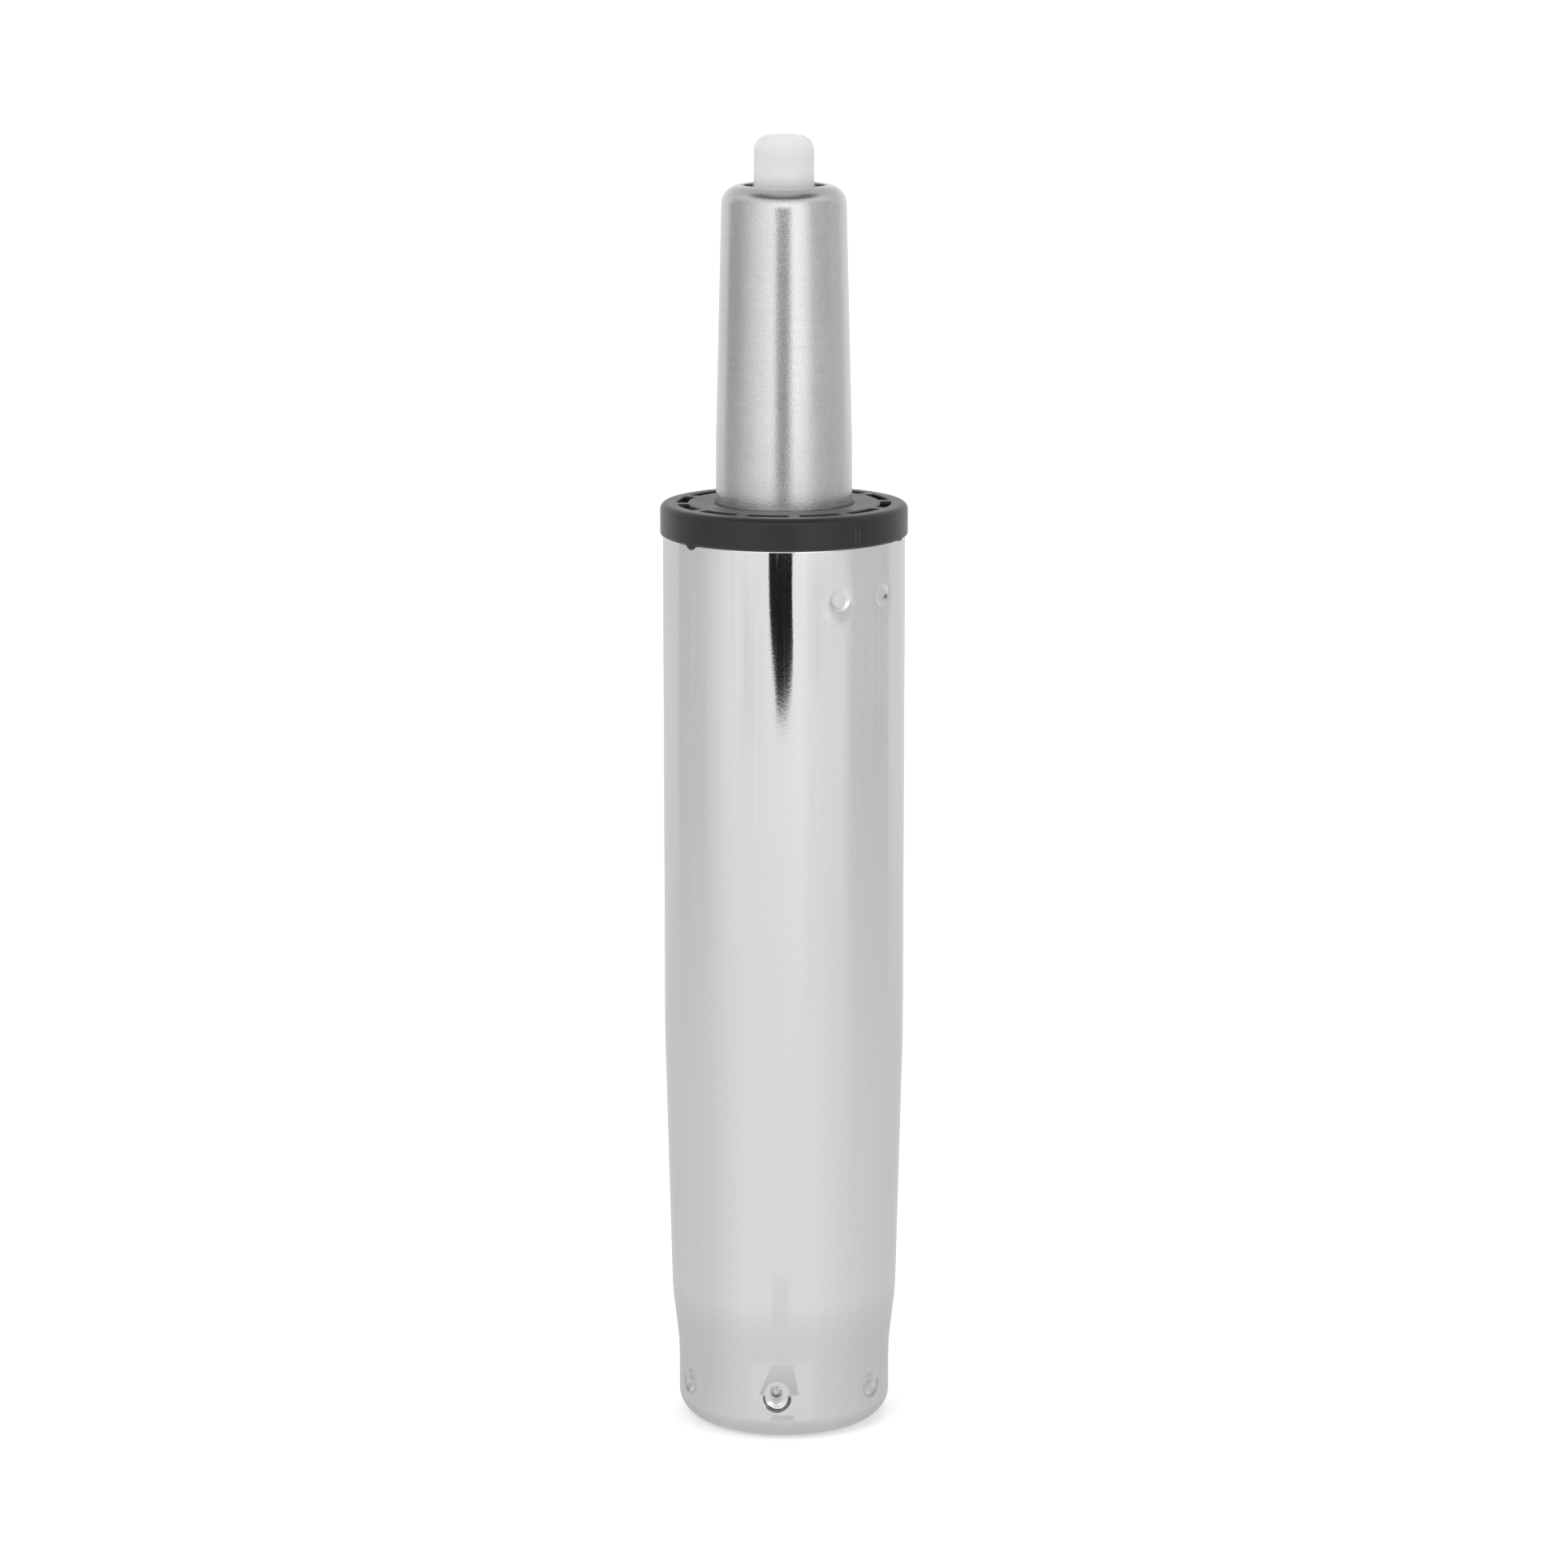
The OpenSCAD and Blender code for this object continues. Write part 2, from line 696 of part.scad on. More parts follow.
// Ring that centres the liner and lets gas pass below its end
module centring_ring() {
    seat_r = liner_bore_r - seat_gap;
    notch_in_r = seat_r - 2.6;
    color("#d8d3c4") difference() {
        lathe([
            [rod_r + 1.2, centring_foot, 0.2],
            [gland_r, centring_foot, 0.2],
            [gland_r, liner_foot, 0.2],
            [seat_r, liner_foot, 0],
            [seat_r, gland_top, 0.6],
            [rod_r + 1.2, gland_top, 0.2]
        ]);
        for (i = [0:3]) rotate([0, 0, 90 * i])
            translate([notch_in_r, -bypass_w / 2, liner_foot - liner_seat_h / 2])
                cube([stem_r - notch_in_r, bypass_w, gland_top]);
    }
}

// Housing of the release valve, held under the stem's rolled shoulder
module valve_body() {
    body_r = stem_bore_at(valve_top) - seat_gap;
    waist_r = stem_bore_at(port_band_top) - seat_gap;
    ring_groove_r = stem_bore_at(stem_o_ring_z) - seat_gap - o_groove_depth;
    color("#2d2f31") difference() {
        lathe([
            [chamber_r, valve_foot, 0],
            [valve_spigot_r, valve_foot, 0.8],
            [valve_spigot_r, liner_top, 0],
            [liner_r, liner_top, 0.2],
            [liner_r, port_band_top, 0],
            [waist_r, port_band_top, 0.4],
            [body_r, valve_top, shoulder_round - stem_wall + 0.15],
            [mouth_r, valve_top, 0],
            [mouth_r, recess_floor, 0.6],
            [pin_bore_r, recess_floor, 0.3],
            [pin_bore_r, chamber_top, 0],
            [chamber_r, chamber_top, 0]
        ]);
        o_ring_groove(stem_o_ring_z, ring_groove_r);
        o_ring_groove(liner_o_ring_z, valve_spigot_r - o_groove_depth);
        for (i = [0:3]) rotate([0, 90, 90 * i + 45]) translate([-port_z, 0, 0])
            cylinder(h = stem_r, d = port_d);
    }
}

module o_ring_groove(z, floor_r) {
    translate([0, 0, z - o_groove_h / 2]) difference() {
        cylinder(h = o_groove_h, r = stem_r);
        translate([0, 0, -over]) cylinder(h = o_groove_h + 2 * over, r = floor_r);
    }
}

// O-rings as they lie when squeezed between groove and bore
module valve_o_rings() {
    color("#1d1d1e") {
        o_ring_pressed(stem_o_ring_z, stem_bore_at(stem_o_ring_z + o_ring_t / 2) - fit_gap);
        o_ring_pressed(liner_o_ring_z, liner_bore_r - fit_gap);
    }
}

module o_ring_pressed(z, out_r) {
    ring(out_r - o_groove_depth + 2 * fit_gap, out_r, z - o_ring_t / 2, o_ring_t, 0.9);
}

module pin_seals() {
    color("#1d1d1e") for (foot = [upper_seal_foot, lower_seal_foot])
        ring(pin_r + fit_gap, chamber_r - fit_gap, foot, pin_seal_h, 0.6);
}

// Sleeve between the pin seals, with ports that meet those of the valve body
module valve_spacer() {
    color("#c9ccd0") difference() {
        ring(pin_r + 0.6, chamber_r - fit_gap, spacer_foot, spacer_h, 0.2);
        for (i = [0:1]) rotate([0, 90, 90 * i + 45]) translate([-port_z, 0, -stem_r])
            cylinder(h = 2 * stem_r, d = port_d);
    }
}

module closing_bush() {
    color("#c2a24a") ring(pin_r + 0.4, chamber_r - fit_gap, valve_foot, closing_bush_h, 0.3);
}

module button() {
    pin_hole_r = pin_r + fit_gap;
    color("#f1f1ec") lathe([
        [pin_hole_r, button_foot, 0.3],
        [button_r, button_foot, 0.5],
        [button_r - button_draft / 2, button_top, button_round],
        [0, button_top, 0],
        [0, button_foot + pin_grip, 0],
        [pin_hole_r, button_foot + pin_grip, 0]
    ]);
}

module valve_pin() {
    neck_top_z = upper_seal_foot - 1;
    color("#b9bdc2") lathe([
        [0, plug_foot - pin_head_h, 0],
        [pin_head_r, plug_foot - pin_head_h, 0.4],
        [pin_head_r, plug_foot, 0.3],
        [pin_r, plug_foot, 0],
        [pin_r, plug_top, 0.3],
        [pin_neck_d / 2, plug_top + 0.6, 0.3],
        [pin_neck_d / 2, neck_top_z - 0.6, 0.3],
        [pin_r, neck_top_z, 0.3],
        [pin_r, button_foot + pin_grip - fit_gap, 0.4],
        [0, button_foot + pin_grip - fit_gap, 0]
    ]);
}

outer_tube();
guide_bush();
base_plate();
lower_race();
ball_cage();
bearing_balls();
piston_rod();
retaining_clip();
clip_washer();
upper_race();
shoulder_washer();
rubber_buffer();
buffer_washer();
piston();
piston_seal();
piston_washers();
piston_nut();
pressure_tube();
liner_tube();
rod_guide();
rod_seal();
seal_washer();
centring_ring();
valve_body();
valve_o_rings();
pin_seals();
valve_spacer();
closing_bush();
button();
valve_pin();
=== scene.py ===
"""Looks of a chair gas lift cylinder, built round the packed model and laid out as a Blender add-on."""
import json
import math

import bpy
from bpy.props import FloatProperty, FloatVectorProperty, IntProperty, PointerProperty
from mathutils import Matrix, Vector


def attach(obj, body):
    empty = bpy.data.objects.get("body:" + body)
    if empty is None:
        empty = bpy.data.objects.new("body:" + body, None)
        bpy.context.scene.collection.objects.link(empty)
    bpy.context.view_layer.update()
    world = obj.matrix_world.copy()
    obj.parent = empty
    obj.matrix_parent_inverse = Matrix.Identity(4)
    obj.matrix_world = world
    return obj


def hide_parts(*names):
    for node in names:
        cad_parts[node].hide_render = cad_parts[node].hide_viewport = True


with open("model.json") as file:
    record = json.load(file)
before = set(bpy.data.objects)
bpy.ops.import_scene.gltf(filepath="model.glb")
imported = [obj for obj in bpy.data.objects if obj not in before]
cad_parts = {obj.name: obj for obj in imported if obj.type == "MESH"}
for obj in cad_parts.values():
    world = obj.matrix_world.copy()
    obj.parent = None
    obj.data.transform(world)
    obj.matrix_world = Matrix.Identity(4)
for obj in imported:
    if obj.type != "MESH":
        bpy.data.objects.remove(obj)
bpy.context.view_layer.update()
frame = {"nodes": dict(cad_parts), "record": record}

bl_info = {
    "name": "Chair gas lift cylinder",
    "version": (1, 0, 0),
    "blender": (4, 5, 0),
    "location": "3D View > Sidebar > Gas Lift",
    "description": "Builds the visible pieces, finishes and studio of a chair gas lift cylinder",
    "category": "Object",
}

MM = 0.001
# Turns of the front foot stake and of the collar stakes, in degrees from the front towards +X
FOOT_STAKE_TURN = -4.0
COLLAR_STAKE_TURNS = (27.0, 54.0, 207.0, 234.0)


def length(name, description, millimetres):
    """A length property whose default is given in millimetres."""
    return FloatProperty(name=name, description=description, default=millimetres * MM, unit="LENGTH",
                         precision=5)


def colour(name, description, value):
    """A colour property, written as linear red, green and blue."""
    return FloatVectorProperty(name=name, description=description, default=value, size=3, subtype="COLOR",
                               min=0.0, max=1.0)


# Sizes and colours that a user would change


class GasLiftColumnSizes(bpy.types.PropertyGroup):
    """Column tube: barrel, hub cone, neck and stakes."""
    radius: length("Barrel radius", "Outer radius of the straight tube", 25.0)
    wall: length("Wall", "Wall of the tube", 2.0)
    top: length("Top edge", "Height of the tube's top edge", 188.5)
    cone_top: length("Cone top", "Height at which the hub cone begins", 83.0)
    cone_foot: length("Cone foot", "Height of the hub cone's narrow end", 27.0)
    cone_foot_radius: length("Cone foot radius", "Radius of the hub cone's narrow end", 23.5945)
    neck_radius: length("Neck radius", "Outer radius of the neck", 22.2)
    neck_top: length("Neck top", "Height of the top of the straight neck", 15.5)
    neck_bend: length("Neck bend", "Radius of the bends between cone and neck", 60.0)
    foot_round: length("Foot round", "Radius of the rolled corner at the floor rim", 5.25)
    rim_bore: length("Rim bore", "Inner radius of the rolled-in floor rim", 15.8)
    collar_stake_height: length("Collar stake height", "Height of the stakes below the collar", 178.0)
    collar_stake_radius: length("Collar stake radius", "Radius of a collar stake's mouth", 2.3)
    collar_stake_depth: length("Collar stake depth", "Depth of a collar stake in its dish", 0.32)
    dish_radius: length("Dish radius", "Radius of the soft dish round a collar stake", 7.4)
    dish_depth: length("Dish depth", "Depth of the soft dish round a collar stake", 0.13)
    foot_stakes: IntProperty(name="Foot stakes", description="Number of stakes round the foot", default=6,
                             min=1)
    foot_stake_height: length("Foot stake height", "Height of the stakes round the foot", 9.4)
    foot_stake_radius: length("Foot stake radius", "Radius of a foot stake's mouth", 2.9)
    foot_stake_depth: length("Foot stake depth", "Depth of a foot stake", 1.2)
    pip_radius: length("Pip radius", "Radius of the punch mark in a foot stake", 1.1)
    pip_height: length("Pip height", "Height of the punch mark in a foot stake", 0.4)
    pip_rise: length("Pip rise", "Rise of the punch mark above the middle of its stake", 1.4)


class GasLiftBushSizes(bpy.types.PropertyGroup):
    """Guide bush: slotted collar, ribs and bore."""
    top: length("Collar top", "Height of the collar's top", 195.0)
    collar_foot: length("Collar foot", "Height of the collar's lower edge", 188.5)
    sleeve_foot: length("Sleeve foot", "Height of the sleeve's lower end", 120.5)
    collar_radius: length("Collar radius", "Outer radius of the collar", 25.5)
    edge: length("Collar edge", "Radius of the collar's top edge", 1.3)
    sleeve_radius: length("Sleeve radius", "Outer radius of the sleeve", 22.95)
    bore_radius: length("Bore radius", "Radius of the bore that guides the stem", 14.05)
    lead_in: length("Lead-in", "Chamfer at each end of the bore", 0.4)
    slot_out: length("Slot outer radius", "Outer radius of the slots", 22.0)
    slot_in: length("Slot inner radius", "Inner radius of the slots", 19.8)
    pocket_in: length("Pocket inner radius", "Inner radius of the pockets between the ribs", 16.45)
    pocket_top: length("Pocket top", "Height of the pockets' top", 191.8)
    rib: length("Rib", "Width of a rib", 2.3)
    slots: IntProperty(name="Slots", description="Number of slots and ribs", default=12, min=3)
    rib_turn: FloatProperty(name="First rib", description="Turn of the first rib from the front",
                            default=math.radians(5.6), subtype="ANGLE")


class GasLiftStemSizes(bpy.types.PropertyGroup):
    """Pressure tube of the gas spring, whose tapered upper end is the stem."""
    radius: length("Radius", "Outer radius of the pressure tube", 14.0)
    wall: length("Wall", "Wall of the pressure tube", 1.5)
    foot: length("Foot", "Height of the rolled lower end", 32.7)
    foot_round: length("Foot round", "Radius of the rolled lower end", 2.5)
    foot_mouth: length("Foot mouth", "Radius of the opening in the lower end", 9.5)
    cone_foot: length("Cone foot", "Height at which the seat cone begins", 208.0)
    top: length("Top", "Height of the stem's rim", 260.0)
    top_radius: length("Top radius", "Radius of the seat cone at the rim", 12.6949)
    shoulder: length("Shoulder", "Radius of the rolled shoulder", 4.0)
    mouth: length("Mouth", "Radius of the opening round the button", 8.4949)
    columns: IntProperty(name="Columns", description="Sides of the turned shell", default=256, min=24)


class GasLiftButtonSizes(bpy.types.PropertyGroup):
    """Release button."""
    top: length("Top", "Height of the button's top", 270.0)
    foot: length("Foot", "Height of the button's lower end", 245.0)
    radius: length("Foot radius", "Radius of the button at its foot", 6.3)
    top_radius: length("Top radius", "Radius of the button at its top", 6.1)
    edge: length("Edge", "Radius of the top edge", 3.0)
    pin_hole: length("Pin hole", "Radius of the blind hole for the valve pin", 2.05)
    pin_depth: length("Pin depth", "Depth of the blind hole for the valve pin", 9.0)


class GasLiftFootSizes(bpy.types.PropertyGroup):
    """Base plate, rod end and clip, seen from below."""
    plate_radius: length("Plate radius", "Outer radius of the base plate", 20.1)
    plate_foot: length("Plate foot", "Height of the plate's lower rim", 2.0)
    plate_thickness: length("Plate thickness", "Thickness of the base plate", 3.0)
    plate_rise: length("Plate rise", "Rise of the plate's middle", 6.0)
    flat_radius: length("Flat radius", "Radius of the raised flat", 14.8)
    slope: length("Slope", "Radial run of the plate's sloping wall", 2.6)
    lip: length("Lip", "Thickness of the plate's lip", 1.8)
    hole: length("Hole", "Radius of the hole for the rod", 4.05)
    clip_foot: length("Clip foot", "Height of the clip's lower face", 5.05)
    clip_thickness: length("Clip thickness", "Thickness of the clip", 1.2)
    clip_radius: length("Clip radius", "Outer radius of the clip", 7.8)
    groove_radius: length("Groove radius", "Radius of the rod in the clip's groove", 3.1)


class GasLiftBearingSizes(bpy.types.PropertyGroup):
    """Balls of the thrust bearing."""
    balls: IntProperty(name="Balls", description="Number of balls", default=10, min=3)
    ball_radius: length("Ball radius", "Radius of a ball", 1.6)
    ring_radius: length("Ring radius", "Radius of the ring on which the balls run", 9.5)
    height: length("Height", "Height of the balls' centres", 13.95)


class GasLiftColours(bpy.types.PropertyGroup):
    """Base colours of the finishes."""
    chrome: colour("Chrome", "Chrome plate of the column tube", (0.80, 0.80, 0.80))
    stem: colour("Stem", "Satin steel of the stem", (0.70, 0.70, 0.70))
    bush: colour("Bush", "Black moulded plastic", (0.0085, 0.0086, 0.009))
    button: colour("Button", "Natural white plastic", (0.80, 0.80, 0.80))
    zinc: colour("Zinc", "Bright zinc plate", (0.60, 0.62, 0.63))
    spring: colour("Spring steel", "Oiled spring steel", (0.20, 0.205, 0.215))
    bearing: colour("Bearing steel", "Hardened and ground steel", (0.70, 0.71, 0.72))
    rod: colour("Rod steel", "Ground and polished steel", (0.72, 0.725, 0.73))
    liner: colour("Liner steel", "Cold drawn steel", (0.62, 0.63, 0.64))
    aluminium: colour("Aluminium", "Turned aluminium", (0.76, 0.77, 0.78))
    brass: colour("Brass", "Turned brass", (0.74, 0.55, 0.25))
    nylon: colour("Nylon", "Natural nylon", (0.70, 0.65, 0.52))
    valve: colour("Valve body", "Black glass-filled nylon", (0.02, 0.02, 0.022))
    rubber: colour("Rubber", "Black rubber", (0.012, 0.012, 0.013))


class GasLiftStudio(bpy.types.PropertyGroup):
    """Camera, lights and floor."""
    distance: FloatProperty(name="Distance", description="Level distance from camera to column", default=1.0,
                            unit="LENGTH")
    height: FloatProperty(name="Height", description="Height of the camera", default=0.336, unit="LENGTH")
    pitch: FloatProperty(name="Pitch", description="Downward tilt of the camera", default=math.radians(11.32),
                         subtype="ANGLE")
    lens: FloatProperty(name="Lens", description="Focal length on a 36 mm sensor, in millimetres",
                        default=112.55)
    sky: FloatProperty(name="Sky", description="Strength of the even light from all sides", default=0.68)
    key: FloatProperty(name="Key", description="Strength of the large soft lamps", default=0.92)


# Node helpers and shared shader groups


def add(tree, kind, inputs=None, **settings):
    """Adds a node, sets its properties and then sets or links its inputs."""
    made = tree.nodes.new(kind)
    for key, value in settings.items():
        setattr(made, key, value)
    for key, value in (inputs or {}).items():
        socket = made.inputs[key]
        if isinstance(value, bpy.types.NodeSocket):
            tree.links.new(value, socket)
        else:
            socket.default_value = value
    return made


def math_node(tree, operation, a, b=0.0, c=0.0):
    """The value of one Math node."""
    return add(tree, "ShaderNodeMath", {0: a, 1: b, 2: c}, operation=operation).outputs[0]


def ramp(tree, factor, stops):
    """A Color Ramp of greys, given as (position, value)."""
    made = add(tree, "ShaderNodeValToRGB", {"Fac": factor})
    elements = made.color_ramp.elements
    while len(elements) > 1:
        elements.remove(elements[-1])
    for i, (position, value) in enumerate(stops):
        element = elements[0] if i == 0 else elements.new(position)
        element.position = position
        element.color = (value, value, value, 1.0)
    return made.outputs["Color"]


def smooth_range(tree, value, low, high):
    """0 at one end of a range and 1 at the other, eased at both."""
    return add(tree, "ShaderNodeMapRange", {"Value": value, "From Min": low, "From Max": high},
               interpolation_type="SMOOTHSTEP").outputs["Result"]


def mix_colour(tree, factor, a, b):
    """One colour at factor 0 and another at factor 1."""
    return add(tree, "ShaderNodeMix", {"Factor": factor, "A": a, "B": b}, data_type="RGBA").outputs["Result"]


def mix_shader(tree, factor, a, b):
    """One shader at factor 0 and another at factor 1."""
    return add(tree, "ShaderNodeMixShader", {0: factor, 1: a, 2: b}).outputs[0]


def flat_length(tree, x, y):
    """Length of a level vector."""
    flat = add(tree, "ShaderNodeCombineXYZ", {"X": x, "Y": y})
    return add(tree, "ShaderNodeVectorMath", {0: flat.outputs[0]}, operation="LENGTH").outputs["Value"]


def front_turn(tree, x, y):
    """Turn about the Z axis, counted from the front, -Y, towards +X."""
    return math_node(tree, "ARCTAN2", x, math_node(tree, "MULTIPLY", y, -1.0))


def fresh_tree(owner):
    """The node tree of a new material or world, emptied."""
    owner.use_nodes = True
    owner.node_tree.nodes.clear()
    return owner.node_tree


def new_group(name, inputs, outputs):
    """An empty shader group. Inputs are (name, kind, default) and outputs are (name, kind)."""
    tree = bpy.data.node_groups.new(name, "ShaderNodeTree")
    for socket_name, kind, default in inputs:
        socket = tree.interface.new_socket(socket_name, in_out="INPUT", socket_type="NodeSocket" + kind)
        socket.default_value = default
    for socket_name, kind in outputs:
        tree.interface.new_socket(socket_name, in_out="OUTPUT", socket_type="NodeSocket" + kind)
    return tree, tree.nodes.new("NodeGroupInput").outputs, tree.nodes.new("NodeGroupOutput").inputs


def grain_group():
    """Noise of a given size, stretched along the axes, from a low value up to 1."""
    tree, given, out = new_group("Grain", [
        ("Vector", "Vector", (0, 0, 0)), ("Size", "Float", 0.001), ("Stretch", "Vector", (1, 1, 1)),
        ("Low", "Float", 0.0), ("Sharpness", "Float", 0.2), ("Seed", "Float", 0.0),
    ], [("Value", "Float")])
    scaled = add(tree, "ShaderNodeVectorMath", {0: given["Vector"], 1: given["Stretch"]}, operation="DIVIDE")
    per_size = math_node(tree, "DIVIDE", 1.0, given["Size"])
    noise = add(tree, "ShaderNodeTexNoise", {
        "Vector": scaled.outputs[0], "W": given["Seed"], "Scale": per_size, "Detail": 3.0, "Roughness": 0.6,
    }, noise_dimensions="4D")
    low_edge = math_node(tree, "SUBTRACT", 0.5, given["Sharpness"])
    high_edge = math_node(tree, "ADD", 0.5, given["Sharpness"])
    mapped = add(tree, "ShaderNodeMapRange", {
        "Value": noise.outputs["Fac"], "From Min": low_edge, "From Max": high_edge, "To Min": given["Low"],
    })
    tree.links.new(mapped.outputs["Result"], out["Value"])
    return tree


def round_lines_group():
    """Fine lines left by turning or grinding: they run round the axis and vary along it and across it."""
    tree, given, out = new_group("Round Lines", [
        ("Vector", "Vector", (0, 0, 0)), ("Pitch", "Float", 0.0003), ("Run", "Float", 0.02),
    ], [("Value", "Float")])
    split = add(tree, "ShaderNodeSeparateXYZ", {0: given["Vector"]}).outputs
    radius = flat_length(tree, split["X"], split["Y"])
    turn = math_node(tree, "ARCTAN2", split["Y"], split["X"])
    arc = math_node(tree, "MULTIPLY", turn, radius)
    place = add(tree, "ShaderNodeCombineXYZ", {
        "X": math_node(tree, "DIVIDE", arc, given["Run"]),
        "Y": math_node(tree, "DIVIDE", radius, given["Pitch"]),
        "Z": math_node(tree, "DIVIDE", split["Z"], given["Pitch"]),
    })
    noise = add(tree, "ShaderNodeTexNoise", {"Vector": place.outputs[0], "Scale": 1.0, "Detail": 2.0,
                                             "Roughness": 0.55})
    mapped = add(tree, "ShaderNodeMapRange", {
        "Value": noise.outputs["Fac"], "From Min": 0.3, "From Max": 0.7,
    })
    tree.links.new(mapped.outputs["Result"], out["Value"])
    return tree


def scratches_group():
    """Sparse thin scratches, as a mask."""
    tree, given, out = new_group("Scratches", [
        ("Vector", "Vector", (0, 0, 0)), ("Spacing", "Float", 0.02), ("Stretch", "Vector", (1, 1, 6)),
        ("Width", "Float", 0.012),
    ], [("Mask", "Float")])
    scaled = add(tree, "ShaderNodeVectorMath", {0: given["Vector"], 1: given["Stretch"]}, operation="DIVIDE")
    per_size = math_node(tree, "DIVIDE", 1.0, given["Spacing"])
    bend = add(tree, "ShaderNodeTexNoise", {"Vector": scaled.outputs[0], "Scale": per_size, "Detail": 1.0})
    bent = add(tree, "ShaderNodeVectorMath", {
        0: bend.outputs["Color"], 1: (0.02, 0.02, 0.02), 2: scaled.outputs[0],
    }, operation="MULTIPLY_ADD")
    cells = add(tree, "ShaderNodeTexVoronoi", {"Vector": bent.outputs[0], "Scale": per_size},
                feature="DISTANCE_TO_EDGE")
    line = add(tree, "ShaderNodeMapRange", {
        "Value": cells.outputs["Distance"], "From Min": 0.0, "From Max": given["Width"],
        "To Min": 1.0, "To Max": 0.0,
    })
    patch = add(tree, "ShaderNodeTexNoise", {"Vector": given["Vector"], "Scale": per_size, "Detail": 2.0})
    kept = add(tree, "ShaderNodeMapRange", {"Value": patch.outputs["Fac"], "From Min": 0.5, "From Max": 0.62})
    tree.links.new(math_node(tree, "MULTIPLY", line.outputs["Result"], kept.outputs["Result"]), out["Mask"])
    return tree


def specks_group():
    """Small scattered specks, as a mask."""
    tree, given, out = new_group("Specks", [
        ("Vector", "Vector", (0, 0, 0)), ("Spacing", "Float", 0.002), ("Size", "Float", 0.15),
    ], [("Mask", "Float")])
    per_size = math_node(tree, "DIVIDE", 1.0, given["Spacing"])
    cells = add(tree, "ShaderNodeTexVoronoi", {"Vector": given["Vector"], "Scale": per_size}, feature="F1")
    spot = add(tree, "ShaderNodeMapRange", {
        "Value": cells.outputs["Distance"], "From Min": 0.0, "From Max": given["Size"],
        "To Min": 1.0, "To Max": 0.0,
    })
    some = add(tree, "ShaderNodeSeparateColor", {0: cells.outputs["Color"]})
    chosen = math_node(tree, "GREATER_THAN", some.outputs[0], 0.6)
    tree.links.new(math_node(tree, "MULTIPLY", spot.outputs["Result"], chosen), out["Mask"])
    return tree


def tint_group():
    """A colour made darker or lighter by a value around 1."""
    tree, given, out = new_group("Tint", [
        ("Color", "Color", (0.5, 0.5, 0.5, 1.0)), ("Value", "Float", 1.0),
    ], [("Color", "Color")])
    scaled = add(tree, "ShaderNodeVectorMath", {0: given["Color"], "Scale": given["Value"]},
                 operation="SCALE")
    tree.links.new(scaled.outputs[0], out["Color"])
    return tree


# The shared groups by short name, and the finishes by material slot, once the operator has made them
GROUPS = {}
FINISHES = {}


def make_groups():
    """Builds every shared shader group once."""
    GROUPS.update(grain=grain_group(), lines=round_lines_group(), scratches=scratches_group(),
                  specks=specks_group(), tint=tint_group())


